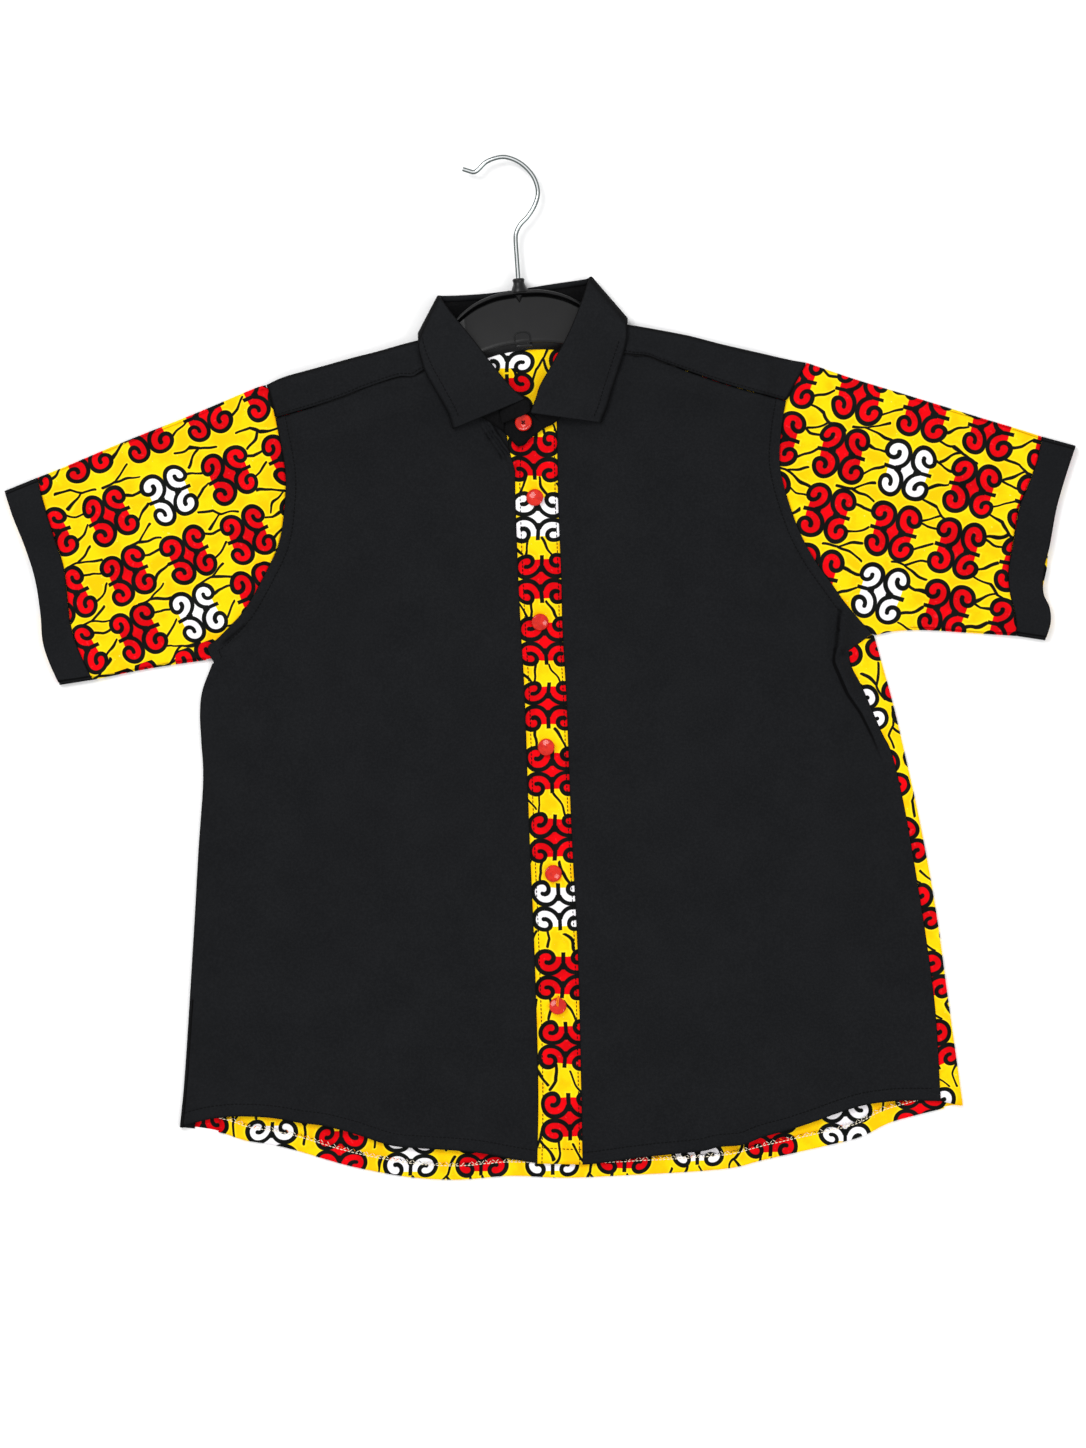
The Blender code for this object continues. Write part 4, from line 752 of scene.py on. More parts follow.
def collar_frames():
    """The section of the leaf and of the stand at each station round the neck."""
    frames = []
    for station in COLLAR:
        neck, fold, edge = as_array(station.neck), as_array(station.fold), as_array(station.edge)
        if station.turn == 90:
            neck[2] = max(neck[2], top(neck[:2]) - 0.5)
            edge[2] = max(edge[2], top(edge[:2]) + LEAF_CLEARANCE)
        legs = unit(unit(neck - fold) + unit(edge - fold))
        outward = as_array((-1, 0, 0)) if fold[0] < -12 else as_array((1, 0, 0))
        angle = math.radians(station.turn)
        away = outward * math.cos(angle) + as_array((0, 0, 1)) * math.sin(angle)
        away = unit(away - legs * (away @ legs))
        middle = fold + legs * FOLD_ROLL
        toward_neck = unit(neck - (middle - away * FOLD_ROLL))
        inner = middle - away * FOLD_ROLL + toward_neck * LEAF_INNER_LEG
        leaf = [inner]
        for k in range(9):
            a = math.radians(-90 + 180 * k / 8)
            leaf.append(middle - legs * FOLD_ROLL * math.cos(a) + away * FOLD_ROLL * math.sin(a))
        start = leaf[-1]
        crown_height = max(math.sin(angle), 0) * LEAF_CROWN
        for k in range(1, 15):
            share = k / 14
            crown = away * crown_height * math.sin(math.pi * share ** 0.8)
            leaf.append(start + (edge - start) * share + crown)
        stand_top = inner + unit(neck - inner) * 0.25
        stand = [stand_top + (neck - stand_top) * k / 8 for k in range(9)]
        frames.append((np.stack(leaf), np.stack(stand)))
    return frames


def build_collar():
    leaf_rows, stand_rows = zip(*collar_frames())
    leaf = np.stack([through(line, 8) for line in np.stack(leaf_rows, axis=1)], axis=1)
    stand = np.stack([through(line, 8) for line in np.stack(stand_rows, axis=1)], axis=1)
    tab_neck = through([stand[-1][-1]] + TAB_NECK, 6)[1:]
    tab_top = through([stand[-1][0]] + TAB_TOP, 6)[1:]
    stand = join(stand, blend(tab_top, tab_neck, np.linspace(0, 1, 9)))
    flap = blend(through(FLAP, 6), through(FLAP_BACK, 6), np.linspace(0, 1, 7))
    # the stand end and the stand take the darker black cloth with painted shade
    shell("cloth_collar_stand_end", None, flap, "black_stand", 0.7)
    shell("cloth_collar_leaf", "collar_leaf", leaf, "black_collar", COLLAR_WALL, offset=0.0)
    shell("cloth_collar_stand", "collar_stand", stand, "black_stand", COLLAR_WALL, flip=True, offset=0.0)


# materials

class Value:
    """What a shader node gives, a number or a vector. Arithmetic on it adds further nodes."""

    def __init__(self, graph, socket):
        self.graph, self.socket = graph, socket
        self.number = socket.type == "VALUE"

    def __call__(self, operation, *others):
        add = self.graph.math if self.number else self.graph.vector
        return add(operation, self, *others)

    def __add__(self, other):
        return self("ADD", other)

    def __sub__(self, other):
        return self("SUBTRACT", other)

    def __rsub__(self, other):
        return self.graph.math("SUBTRACT", other, self)

    def __mul__(self, other):
        return self("MULTIPLY", other) if self.number else self.graph.vector("SCALE", self, scale=other)

    def __lt__(self, other):
        return self("LESS_THAN", other)

    def __gt__(self, other):
        return self("GREATER_THAN", other)

    def __abs__(self):
        return self("ABSOLUTE")

    def least(self, other):
        return self("MINIMUM", other)

    def most(self, other):
        return self("MAXIMUM", other)

    def dot(self, other):
        return self("DOT_PRODUCT", other)


class Graph:
    """Short calls for adding shader nodes."""

    def __init__(self, tree):
        self.tree = tree

    def feed(self, socket, value):
        if isinstance(value, Value):
            self.tree.links.new(value.socket, socket)
        else:
            socket.default_value = value

    def add(self, kind, inputs=(), **settings):
        """Add a node and feed its inputs, each given by its name or place."""
        node = self.tree.nodes.new(kind)
        for key, value in settings.items():
            setattr(node, key, value)
        for key, value in dict(inputs).items():
            self.feed(node.inputs[key], value)
        return node

    def read(self, node, output=0):
        return Value(self, node.outputs[output])

    def math(self, operation, *values):
        return self.read(self.add("ShaderNodeMath", enumerate(values), operation=operation))

    def vector(self, operation, *values, scale=None):
        inputs = dict(enumerate(values))
        if scale is not None:
            inputs["Scale"] = scale
        scalar = operation in ("DOT_PRODUCT", "DISTANCE")
        node = self.add("ShaderNodeVectorMath", inputs, operation=operation)
        return self.read(node, "Value" if scalar else "Vector")

    def parts(self, vector):
        node = self.add("ShaderNodeSeparateXYZ", {0: vector})
        return [self.read(node, k) for k in range(3)]

    def combine(self, x, y, z=0.0):
        return self.read(self.add("ShaderNodeCombineXYZ", enumerate((x, y, z))))

    def place(self, kind="Object"):
        return self.read(self.add("ShaderNodeTexCoord"), kind)

    def noise(self, vector, scale, detail=3.0, roughness=0.5, output="Fac"):
        inputs = {"Vector": vector, "Scale": scale, "Detail": detail, "Roughness": roughness}
        return self.read(self.add("ShaderNodeTexNoise", inputs), output)

    def mix(self, factor, first, second):
        return self.read(self.add("ShaderNodeMix", {0: factor, 6: first, 7: second}, data_type="RGBA"), 2)

    def remap(self, value, low, high, to_low=0.0, to_high=1.0):
        inputs = enumerate((value, low, high, to_low, to_high))
        return self.read(self.add("ShaderNodeMapRange", inputs, interpolation_type="SMOOTHSTEP"))


def srgb(r, g, b):
    def linear(c):
        c /= 255
        return c / 12.92 if c <= 0.04045 else ((c + 0.055) / 1.055) ** 2.4
    return (linear(r), linear(g), linear(b), 1.0)


# sizes of the print's motif in photograph pixels, in a quarter with its stem along X
LOBE = (12.0, 14.6)            # middle of a lobe
LOBE_RADIUS = 10.2
LOBE_REACH = 4.0               # how much further the lobe reaches toward the stem
HOOK = (4.9, -0.4)             # middle of the horn's curled end, from the middle of the lobe
HOOK_RADIUS = 5.3
LINE = 2.2                     # half the width of the motif's line
STEM = (5.5, 22.4, 2.0)        # where the stem starts and ends, and half its width
MOUTH = 18.3                   # the fill's reach along the stem between two lobes
TWIG = 1.4                     # half the width of a twig
FAR = 99.0                     # added to a distance to leave it out

# twigs as chains of points from the middle of the gap between two motifs, in pixels
TWIGS_BESIDE = [[(-9.0, 15.0), (-1.0, 12.5), (12.0, 12.5)], [(-10.0, -12.5), (-1.0, -8.0), (8.5, -1.5)]]
TWIGS_BETWEEN_A = [[(-29, 0), (-15, 1.0), (-3, -3.5), (9, -7.5)], [(-14, 0.6), (4, 10)]]
TWIGS_BETWEEN_B = [[(-10, 7), (4, 5), (13, -2.5), (28, -6.5)], [(11, -1.5), (-6, -13)]]


def wax_print_group():
    """The print as a group: the lattice goes in, the distance to lines and what they enclose come out."""
    tree = bpy.data.node_groups.new("wax_print", "ShaderNodeTree")
    for way, kind, names in (
            ("INPUT", "Vector", ("Place", "Inverse A", "Inverse B", "Step A", "Step B", "Bend A", "Bend B")),
            ("INPUT", "Float", ("White Along", "White Down")),
            ("OUTPUT", "Float", ("Line", "Fill", "White"))):
        for name in names:
            tree.interface.new_socket(name, in_out=way, socket_type="NodeSocket" + kind)
    g = Graph(tree)
    source = g.add("NodeGroupInput")
    place, inverse_a, inverse_b, step_a, step_b, bend_a, bend_b, white_along, white_down = [
        g.read(source, k) for k in range(9)]
    grey = (0.5, 0.5, 0.5)
    warped = place + (g.noise(place, 0.03, 0.0, output="Color") - grey) * 5.0
    loose = warped + (g.noise(place, 0.06, 0.0, output="Color") - grey) * 9.0

    def bent(vector, number):
        return vector * (number * number)

    straight = place - (bent(bend_a, place.dot(inverse_a)) + bent(bend_b, place.dot(inverse_b)))

    def cell(position, shift_a, shift_b):
        """The place within the nearest cell of the lattice, and the cell's numbers."""
        i = (straight.dot(inverse_a) - shift_a)("ROUND")
        j = (straight.dot(inverse_b) - shift_b)("ROUND")
        full_i, full_j = i + shift_a, j + shift_b
        origin = step_a * full_i + step_b * full_j + (bent(bend_a, full_i) + bent(bend_b, full_j))
        return position - origin, i, j

    local, i, j = cell(warped, 0.0, 0.0)
    a, b = [abs(part) for part in g.parts(local)[:2]]
    dx, dy = a - LOBE[0], b - LOBE[1]
    radius = (dx * dx + dy * dy)("SQRT")
    angle = (dx * -1.0)("ARCTAN2", dy * -1.0)
    angle = angle + (angle < 0.0) * math.tau
    near_stem = (angle * (-2 / math.pi) + 1.0).most(0.0)
    outer = near_stem("POWER", 1.5) * LOBE_REACH + LOBE_RADIUS
    past_ring = angle > math.radians(275)
    ring = abs(radius - outer) + past_ring * FAR
    hx, hy = dx - HOOK[0], dy - HOOK[1]
    hook_distance = (hx * hx + hy * hy)("SQRT")
    hook = abs(hook_distance - HOOK_RADIUS) + (hy > 0.3) * FAR
    hook_end = g.combine(hx, hy)("DISTANCE", (0.2 - HOOK_RADIUS, 1.1, 0.0))
    coil = ring.least(hook.least(hook_end)) - LINE
    stem = (b - STEM[2]).most((STEM[0] - a).most(a - STEM[1]))
    line = coil.least(stem)
    within = ((radius < outer) * (1.0 - past_ring)).most(hook_distance < HOOK_RADIUS)
    fill = within.most((a < MOUTH) * (b < LOBE[1]))

    def chain(position, points):
        """The distance to a line through points."""
        best = None
        for p, q in zip(points, points[1:]):
            run = Vector((q[0] - p[0], q[1] - p[1], 0.0))
            way = tuple(run.normalized())
            offset = position - (p[0], p[1], 0.0)
            along = offset.dot(way).most(0.0).least(run.length)
            distance = offset("DISTANCE", g.vector("SCALE", way, scale=along))
            best = distance if best is None else best.least(distance)
        return best

    def nearest(position, chains):
        return chain(position, chains[0]).least(chain(position, chains[1]))

    def flat_only(position):
        return g.combine(*g.parts(position)[:2])

    between, bi, bj = cell(loose, 0.5, 0.5)
    between = flat_only(between)
    dice = g.add("ShaderNodeTexWhiteNoise", noise_dimensions="2D")
    g.feed(dice.inputs["Vector"], g.combine(bi, bj))
    pick = g.read(dice, "Value") > 0.5
    twig = nearest(flat_only(cell(loose, 0.5, 0.0)[0]), TWIGS_BESIDE)
    for chains, off in ((TWIGS_BETWEEN_A, pick), (TWIGS_BETWEEN_B, 1.0 - pick)):
        twig = twig.least(off * FAR + nearest(between, chains))
    line = line.least(twig - TWIG + fill * FAR)
    white = (i("FLOORED_MODULO", white_along) < 0.5) * (j("FLOORED_MODULO", white_down) < 0.5)
    g.add("NodeGroupOutput", enumerate((line, fill, white)))


def new_material(name, base, roughness, metallic=0.0, specular=0.5):
    material = bpy.data.materials.new(name)
    material.use_nodes = True
    shader = material.node_tree.nodes["Principled BSDF"].inputs
    shader["Base Color"].default_value = base
    shader["Roughness"].default_value = roughness
    shader["Metallic"].default_value = metallic
    shader["Specular IOR Level"].default_value = specular
    MATERIALS[name] = material
    return Graph(material.node_tree), shader


THREADS = 9500.0        # radians of the weave's waves in a metre


def weave(g, shader, place):
    """Plain-woven threads, in raised points."""
    x, y, _ = g.parts(place)
    threads = (x * THREADS)("SINE") * (y * THREADS)("SINE")
    height = g.noise(place, 900.0) * 0.7 + threads * 0.3
    bump = g.add("ShaderNodeBump", {"Strength": 0.25, "Distance": 0.0002, "Height": height})
    g.feed(shader["Normal"], g.read(bump, "Normal"))


def black_cloth(name, dark, light, roughness):
    g, shader = new_material(name, dark, roughness, specular=0.08)
    shader["Sheen Weight"].default_value = 0.01
    shader["Sheen Roughness"].default_value = 0.5
    place = g.place()
    cloudy = g.remap(g.noise(place, 30.0, 4.0, 0.6), 0.3, 0.7)
    fine = g.remap(g.noise(place, 700.0, 3.0, 0.7), 0.35, 0.7)
    # painted shade: where the surface leans away from upright, in creases, folds and round edges, the colour
    # goes toward near-black srgb(3, 3, 4)
    flat = g.remap(g.parts(g.place("Normal"))[2], 0.55, 0.97)
    cloth = g.mix(fine * 0.6 + cloudy * 0.3, dark, light)
    g.feed(shader["Base Color"], g.mix(flat, srgb(3, 3, 4), cloth))
    weave(g, shader, place)


def print_cloth(name, row):
    g, shader = new_material(name, srgb(255, 205, 0), 0.75, specular=0.06)
    place = g.place()
    turn = Matrix.Rotation(-math.radians(row.turn), 3, "Z")
    moved = place - tuple(Vector((*from_photo(row.centre), 0.0)) * MM)
    scale = 1 / (PIXEL * MM * row.size)
    flat = g.combine(*[moved.dot(tuple(axis * scale)) for axis in turn[:2]])
    steps = [turn @ Vector((x, -y, 0.0)) / row.size
             for x, y in (row.step_along, row.step_down, row.bend_along, row.bend_down)]
    along, down = steps[:2]
    area = along.x * down.y - along.y * down.x
    inverse_a = (down.y / area, -down.x / area, 0.0)
    inverse_b = (-along.y / area, along.x / area, 0.0)
    values = (flat, inverse_a, inverse_b, *map(tuple, steps), row.white_along, row.white_down)
    group = g.add("ShaderNodeGroup", enumerate(values), node_tree=bpy.data.node_groups["wax_print"])
    line, fill, white = [g.read(group, k) for k in range(3)]
    blotch = g.noise(place, 60.0, 4.0, 0.6)
    speck = g.noise(place, 420.0, 2.0)
    yellow = g.mix(g.remap(blotch, 0.38, 0.62), srgb(252, 190, 2), srgb(255, 208, 4))
    yellow = g.mix(g.remap(speck, 0.70, 0.78) * 0.6, yellow, srgb(255, 232, 120))
    yellow = g.mix(g.remap(line, 0.2, 2.2, 0.75, 0.0), yellow, srgb(255, 226, 30))
    red = g.mix(g.remap(blotch, 0.4, 0.6), srgb(206, 0, 10), srgb(228, 0, 12))
    red = g.mix(g.remap(speck, 0.62, 0.72, 0.0, 0.3), red, srgb(240, 60, 70))
    pale = g.mix(g.remap(blotch, 0.42, 0.6), srgb(238, 234, 238), srgb(250, 249, 250))
    ink = g.mix(g.remap(blotch, 0.4, 0.6), srgb(8, 10, 9), srgb(16, 18, 16))
    ground = g.mix(fill, yellow, g.mix(white, red, pale))
    g.feed(shader["Base Color"], g.mix(g.remap(line, -0.35, 0.35, 1.0, 0.0), ground, ink))
    weave(g, shader, place)


def make_materials():
    wax_print_group()
    black_cloth("black_cotton", srgb(17, 18, 20), srgb(26, 27, 29), 0.88)
    black_cloth("black_collar", srgb(18, 19, 21), srgb(27, 28, 30), 0.85)
    # a darker copy of the black cloth for the collar stand and the stand end: painted shade of the recess
    # inside the collar
    black_cloth("black_stand", srgb(6, 6, 7), srgb(14, 14, 15), 0.9)
    for key, row in PRINTS.items():
        print_cloth("print_" + key, row)
    new_material("black_thread", srgb(17, 17, 18), 0.8, specular=0.04)
    new_material("pale_thread", srgb(235, 225, 200), 0.6, specular=0.2)
    new_material("orange_thread", srgb(235, 120, 16), 0.6, specular=0.1)
    g, shader = new_material("red_button", srgb(220, 30, 12), 0.13, specular=0.34)
    cloud = g.remap(g.noise(g.place(), 300.0, 2.0), 0.35, 0.65)
    g.feed(shader["Base Color"], g.mix(cloud, srgb(188, 22, 8), srgb(210, 34, 12)))
    g, shader = new_material("black_plastic", srgb(14, 14, 15), 0.38, specular=0.26)
    place = g.place()
    g.feed(shader["Roughness"], g.remap(g.noise(place, 1500.0, 2.0), 0.3, 0.7, 0.32, 0.44))
    g.feed(shader["Base Color"], g.mix(g.noise(place, 90.0), srgb(10, 10, 11), srgb(18, 18, 19)))
    g, shader = new_material("chromed_wire", srgb(240, 242, 243), 0.12, metallic=1.0)
    g.feed(shader["Roughness"], g.remap(g.noise(g.place(), 400.0, 2.0), 0.3, 0.7, 0.16, 0.24))
    # painted reflection: the wire's sides, leaning away from upright, are grey and only its top is bright
    upright_painted_reflection = g.remap(g.parts(g.place("Normal"))[2], 0.92, 0.99)
    g.feed(shader["Base Color"], g.mix(upright_painted_reflection, srgb(104, 112, 111), srgb(236, 239, 240)))


# sewing

def ring_faces(rings, sides, base=0):
    """Faces round a run of rings of points, and one face on each end."""
    faces = []
    for ring in range(rings - 1):
        a = base + ring * sides
        for k in range(sides):
            n = (k + 1) % sides
            faces.append((a + k, a + n, a + sides + n, a + sides + k))
    faces.append(tuple(range(base + sides - 1, base - 1, -1)))
    faces.append(tuple(range(base + (rings - 1) * sides, base + rings * sides)))
    return faces


STITCH_SIDES = 6
# how far each row of stitches runs from its seam or edge
ARMHOLE_STITCH = 7
YOKE_STITCH = 2
HEM_STITCH = 8.2
PLACKET_STITCH = 3
COLLAR_STITCH = 6


def stitch_rows(name, rows, material, length=1.9, pitch=2.6, width=0.34, rise=0.12):
    """Rows of stitches, each a short low bead, along curves of points in space."""
    points, faces = [], []
    up = as_array((0, 0, 1))
    for row in rows:
        row = as_array(row)
        total = np.linalg.norm(np.diff(row, axis=0), axis=1).sum()
        count = max(int(total / pitch), 1)
        line = evenly(row, count * 4)
        for k in range(count):
            a, b = line[k * 4], line[k * 4 + 3]
            along = b - a
            size = np.linalg.norm(along)
            if size < 0.2:
                continue
            along = along / size
            b = a + along * min(length, size)
            side = np.cross((0, 0, 1), along)
            side = side / max(np.linalg.norm(side), 1e-6)
            faces.extend(ring_faces(4, STITCH_SIDES, len(points)))
            for at, thin in ((a, 0.35), ((a * 3 + b) / 4, 1.0), ((a + 3 * b) / 4, 1.0), (b, 0.35)):
                for q in range(STITCH_SIDES):
                    r = math.tau * q / STITCH_SIDES
                    round_side = side * (width * thin * math.cos(r))
                    points.append(at + round_side + up * (rise + width * thin * math.sin(r)))
    add_mesh(name, points, faces, material)


def on_cloth(curve, extra=0.0):
    return on(top, as_array(curve), extra)


def build_sewing():
    rows = []
    for armhole in (ARMHOLE_LEFT[:-1], ARMHOLE_RIGHT[1:-1]):
        rows.append(on_cloth(shrink(smooth(armhole, 60), CHEST, ARMHOLE_STITCH)))
    for seam in (YOKE_LEFT, YOKE_RIGHT):
        rows.append(on_cloth(shrink(smooth(seam, 40), (0, 300), YOKE_STITCH), 0.7))
    for hem in (HEM_LEFT, HEM_RIGHT):
        rows.append(on_cloth(shrink(smooth(hem, 80), (0, 0), HEM_STITCH)[2:], 0.1))
    stitch_rows("stitches_body", rows, "black_thread")
    rows = [on_cloth(smooth(PLACKET_LEFT, 120) + (PLACKET_STITCH, 0), 1.35)]
    rows.append(on_cloth(smooth(PLACKET_RIGHT, 120) - (PLACKET_STITCH, 0), 1.35))
    rows.append(on_cloth([(-1.2, -319.4), (8, -319.9), (18, -320.4), (28.2, -320.6)], 1.35))
    stitch_rows("stitches_placket", rows, "black_thread", width=0.3)
    frames = collar_frames()
    outer, inner = [through([leaf[k] for leaf, _ in frames], 8) for k in (-1, -5)]
    step = inner - outer
    step /= np.linalg.norm(step, axis=1)[:, None]
    edge_row = outer + step * COLLAR_STITCH + (0, 0, 0.75)
    front = 5 * 8
    rows = [edge_row[6:front], edge_row[-front:-6]]
    stitch_rows("stitches_collar", rows, "black_thread", width=0.24, rise=0.05)
    hem = smooth(HEM_BACK, 230)
    normals = inward_normals(hem, (0, 0))
    rng = np.random.default_rng(11)

    def along_hem(depth):
        return raised(hem + normals * (1.15 + HEM_WIDTH + depth)[:, None], HEM_HEIGHT + 0.05)

    uneven = rng.normal(0, 0.18, len(hem))
    line = along_hem(uneven * 0.5 - 1.3)
    inner, outer = along_hem(uneven - 0.9), along_hem(uneven + 1.0)
    stitch_rows("stitches_back_hem", [line[6:-6]], "pale_thread", length=2.2, width=0.3)
    zigzag = {"pale_thread": [], "black_thread": [], "orange_thread": []}
    for k in range(6, len(hem) - 7):
        kind = rng.choice(list(zigzag), p=(0.62, 0.28, 0.1))
        zigzag[kind].append([inner[k], outer[k + 1]] if k % 2 else [outer[k], inner[k + 1]])
    for kind, pieces in zigzag.items():
        stitch_rows("stitches_serge_" + kind, pieces, kind, length=3.0, pitch=9.0, width=0.2)


# buttons, hanger and hook

def lathe(name, profile, sides, material, node=None):
    points = []
    for radius, height in profile:
        for k in range(sides):
            angle = math.tau * k / sides
            points.append((radius * math.cos(angle), radius * math.sin(angle), height))
    return add_mesh(name, points, ring_faces(len(profile), sides), material, node, sharp=50)


RIM = [(3.4, 0.0), (4.9, 0.25), (5.5, 0.7), (5.7, 1.2)]
DISHED = RIM + [(5.6, 1.7), (5.35, 2.1), (5, 2.3), (4.6, 2.28), (4.1, 2.12), (3.3, 1.84), (2.6, 1.62),
                (2.1, 1.5), (1.9, 1.48), (0.4, 1.48)]
DOMED = RIM + [(5.62, 1.6), (5.38, 1.95), (5, 2.15), (4.5, 2.31), (3.5, 2.57), (2.4, 2.78), (1.2, 2.91),
               (0.4, 2.95)]


def build_button(node, place, profile, tilt_x, tilt_y, holes=0.0):
    item = lathe(node + "_body", profile, 48, "red_button", node)
    turn = Matrix.Rotation(math.radians(tilt_x), 4, "X") @ Matrix.Rotation(math.radians(tilt_y), 4, "Y")
    stand = Matrix.Translation(Vector(place) * MM) @ turn
    item.data.transform(stand)
    if not holes:
        return
    threads = []
    for k in range(4):
        angle = math.pi / 4 + math.pi / 2 * k
        spot = Vector((math.cos(angle), math.sin(angle), 0)) * holes
        bpy.ops.mesh.primitive_cylinder_add(vertices=16, radius=0.5 * MM, depth=12 * MM)
        cutter = bpy.context.object
        cutter.data.transform(stand @ Matrix.Translation(spot * MM))
        cut = item.modifiers.new("hole", "BOOLEAN")
        cut.operation = "DIFFERENCE"
        cut.object = cutter
        bpy.context.view_layer.objects.active = item
        bpy.ops.object.modifier_apply(modifier=cut.name)
        bpy.data.objects.remove(cutter)
        threads.append(spot)
    item.data.set_sharp_from_angle(angle=math.radians(30))
    for k in (0, 1):
        ends = [stand @ (Vector((p.x, p.y, h)) * MM) / MM for p, h in (
            (threads[k], 0.9), (threads[k], 2.2), (threads[k + 2], 2.2), (threads[k + 2], 0.9))]
        rod(f"{node}_thread_{k + 1}", through(ends, 6), 0.28, "black_thread", sides=8)


LOOSE_THREAD = [
    (-0.6, 0.5, 4.7), (-0.9, 3, 4.7), (-0.2, 5.4, 3.9), (0.3, 6.9, 1.9), (0.6, 5.6, 3.9), (0.2, 3.2, 4.7),
    (0, 0, 4.8),
]


def build_buttons():
    for index, row in enumerate(BUTTONS):
        z = float(top(as_array((row.x, row.y)))) + 1.75
        build_button(f"button_{index + 1}", (row.x, row.y, z), DOMED, row.tilt_x, row.tilt_y)
    build_button("button_collar", (*COLLAR_BUTTON, 8.5), DISHED, -2, -12, holes=1.15)
    last = BUTTONS[-1]
    z = float(top(as_array((last.x, last.y))))
    loop = as_array(LOOSE_THREAD) + (last.x, last.y, z)
    rod("button_5_thread", through(loop, 6), 0.42, "orange_thread", sides=8)


def rod(name, path, radius, material, node=None, sides=24):
    """A round bar or thread along a curve in space; radius may be one for each point."""
    path = as_array(path)
    radii = np.broadcast_to(radius, (len(path),))
    points = []
    along = np.gradient(path, axis=0)
    side = None
    for k, centre in enumerate(path):
        way = unit(along[k])
        if side is None:
            side = np.cross(way, (0, 0, 1) if abs(way[2]) < 0.9 else (1, 0, 0))
        side = unit(side - way * (side @ way))
        up = np.cross(side, way)
        for q in range(sides):
            angle = math.tau * q / sides
            points.append(centre + (side * math.cos(angle) + up * math.sin(angle)) * radii[k])
    add_mesh(name, points, ring_faces(len(path), sides), material, node, sharp=60)


HANGER_SKIRT = 4.4
WIRE_HEIGHT = 7.6       # of the middle of the hook's wire
WIRE_RADIUS = 1.5
# the boss round the wire, as its radius at each place along the stem
BOSS_PROFILE = [
    (7.9, 2.2), (7.8, 3.2), (7.4, 3.8), (6.8, 4.1), (6.2, 3.9), (4.8, 3.7), (3.2, 4.1), (1.4, 4.9), (0, 5.5),
    (-1.2, 5.6),
]


def build_hanger():
    """The moulded hanger: a rounded upper rim, a groove, a face with a raised edge, and a skirt below it."""
    reaches = np.unique(np.concatenate([np.linspace(-149, 149, 120), np.linspace(-4, 4, 17)]))
    table = [row.reach for row in HANGER]
    upper = np.interp(np.abs(reaches), table, [row.upper for row in HANGER])
    lower = np.interp(np.abs(reaches), table, [row.lower for row in HANGER])
    for _ in range(6):
        upper[1:-1] = (upper[:-2] + 2 * upper[1:-1] + upper[2:]) / 4
        lower[1:-1] = (lower[:-2] + 2 * lower[1:-1] + lower[2:]) / 4
    points = []
    for reach, high, low in zip(reaches, upper, lower):
        middle = 1 - ease(abs(reach), 34, 48)
        notch = 3.4 * max(0.0, 1 - abs(reach + 0.4) / 2.0)
        skirt = HANGER_SKIRT * middle
        dip = 0.5 * middle
        groove, inside = high - 3.8 - notch, high - 5.1 - notch
        section = [
            (high - 0.4, 5.5), (high, 6.2), (high, 9.4), (high - 0.5, 10.3), (high - 1.2, 10.6),
            (high - 2, 10.4), (high - 2.5, 9.4), (high - 3.2, 6.6), (groove, 6.2), (groove - 0.7, 9.2),
            (groove - 0.9, 9.75), (inside, 9.8 - dip), (low + 3, 9.8 - dip), (low + 1.2, 9.6),
            (low + 0.7, 9.9), (low + 0.1, 9.8), (low - 0.2, 9), (low - 0.5 - 0.25 * skirt, 8.2),
            (low - 0.4 - 0.6 * skirt, 7), (low - 0.3 - skirt, 5.6), (low + 1, 5.4),
        ]
        points.extend([(*hanger_plan(reach, y), z) for y, z in section])
    faces = ring_faces(len(reaches), len(section))
    add_mesh("hanger_moulding", points, faces, "black_plastic", "hanger", sharp=38)
    boss = [(*hanger_plan(0.35, along), WIRE_HEIGHT) for along, _ in BOSS_PROFILE]
    rod("hanger_boss", boss, [radius for _, radius in BOSS_PROFILE], "black_plastic", sides=32)
    nub = [(5.7, 0.0), (5.8, 0.5), (5.6, 1.0), (5.1, 1.0), (4.8, 0.55), (4.5, 0.5), (4.2, 0.5), (0.5, 0.5)]
    item = lathe("hanger_nub", nub, 48, "black_plastic")
    for vertex in item.data.vertices:
        x, y = vertex.co.xy.normalized()
        vertex.co.xy *= (x ** 4 + y ** 4) ** -0.12
    squeeze = Matrix.Diagonal((1.0, 0.84, 1.0, 1.0))
    place = Vector((*hanger_plan(-0.8, -32.4), 8.9)) * MM
    item.data.transform(Matrix.Translation(place) @ Matrix.Rotation(HANGER_TILT, 4, "Z") @ squeeze)
    foot = [(*hanger_plan(reach, -37.2), 8.6) for reach in np.linspace(-5.4, 5.4, 9)]
    rod("hanger_foot", foot, [1.0, 1.5, 1.6, 1.6, 1.6, 1.6, 1.6, 1.5, 1.0], "black_plastic", sides=12)


# the hook's wire in photograph pixels
HOOK_PATH = [
    (462.8, 170.1), (468.5, 171.9), (474, 173.2), (478.5, 170.6), (485.5, 163.6), (495.2, 159.3),
    (505, 158.1), (516, 161.5), (525.8, 168.4), (534.2, 179.3), (537.9, 192.7), (535.2, 205.2), (528, 217.2),
    (520.6, 225.2), (516.5, 233.2), (515.7, 241), (517, 261.1), (518.4, 281.5),
]


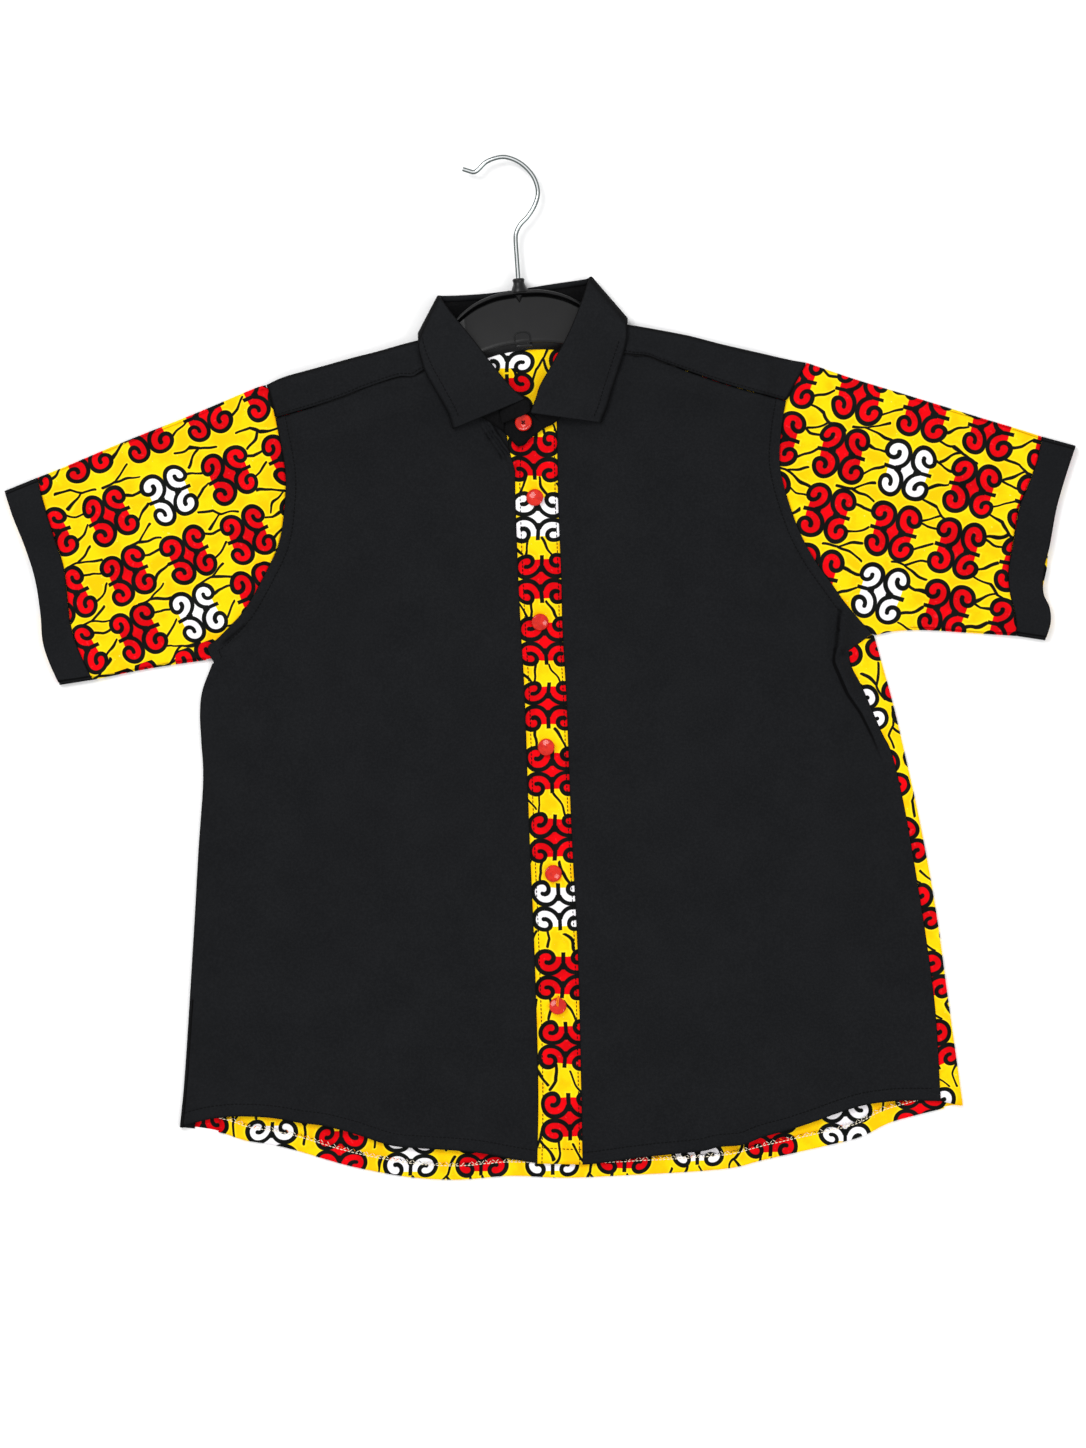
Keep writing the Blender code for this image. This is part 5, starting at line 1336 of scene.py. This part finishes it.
def build_hook():
    plan = [(*from_photo(point), WIRE_HEIGHT) for point in HOOK_PATH]
    rod("hook_wire", through(plan, 8), WIRE_RADIUS, "chromed_wire", "hanger_hook", sides=28)


# the fields of a cloth piece's cut: width and length laid out, area in square metres, and what it lies on
Cut = namedtuple("Cut", "width length area rests_on")

for build in (make_materials, build_front_left, build_front_right, build_back, build_yoke, build_yoke_facing,
              build_plackets, build_sleeves, build_collar, build_sewing, build_buttons, build_hanger,
              build_hook):
    build()

# floor, light and camera

bpy.ops.mesh.primitive_plane_add(size=6.0, location=(0, 0, 0))
floor = bpy.context.object
floor.name = "floor"
new_material("floor_paper", (0.96, 0.96, 0.96, 1.0), 0.9, specular=0.0)
floor.data.materials.append(MATERIALS["floor_paper"])

world = bpy.data.worlds.new("studio")
bpy.context.scene.world = world
world.use_nodes = True
sky = Graph(world.node_tree)
height = sky.remap(sky.parts(sky.place("Generated"))[2], 0.05, 0.9)
background = world.node_tree.nodes["Background"]
sky.feed(background.inputs["Color"], sky.mix(height, (0.55, 0.55, 0.565, 1), (1, 1, 1, 1)))
background.inputs["Strength"].default_value = 0.92
bpy.context.scene.view_settings.view_transform = "Standard"
for name, spot, size, power in (("key", (-1.2, 1.4, 2.2), 1.2, 38), ("fill", (1.5, -0.8, 2.0), 0.8, 16)):
    light = bpy.data.lights.new(name, "AREA")
    light.size = size
    light.energy = power
    lamp = bpy.data.objects.new(name, light)
    lamp.location = spot
    lamp.rotation_euler = (-Vector(spot)).to_track_quat("-Z", "Y").to_euler()
    bpy.context.scene.collection.objects.link(lamp)

VIEW_CENTRE = (2.0, -37.3)
VIEW_HEIGHT = 965.3
CAMERA_DISTANCE = 4.0
camera_data = bpy.data.cameras.new("camera")
camera_data.sensor_fit = "VERTICAL"
camera_data.sensor_height = 24
camera_data.lens = 24 * CAMERA_DISTANCE / (VIEW_HEIGHT * MM)
camera = bpy.data.objects.new("camera", camera_data)
camera.location = (VIEW_CENTRE[0] * MM, VIEW_CENTRE[1] * MM, CAMERA_DISTANCE)
bpy.context.scene.collection.objects.link(camera)
bpy.context.scene.camera = camera

bpy.context.view_layer.update()
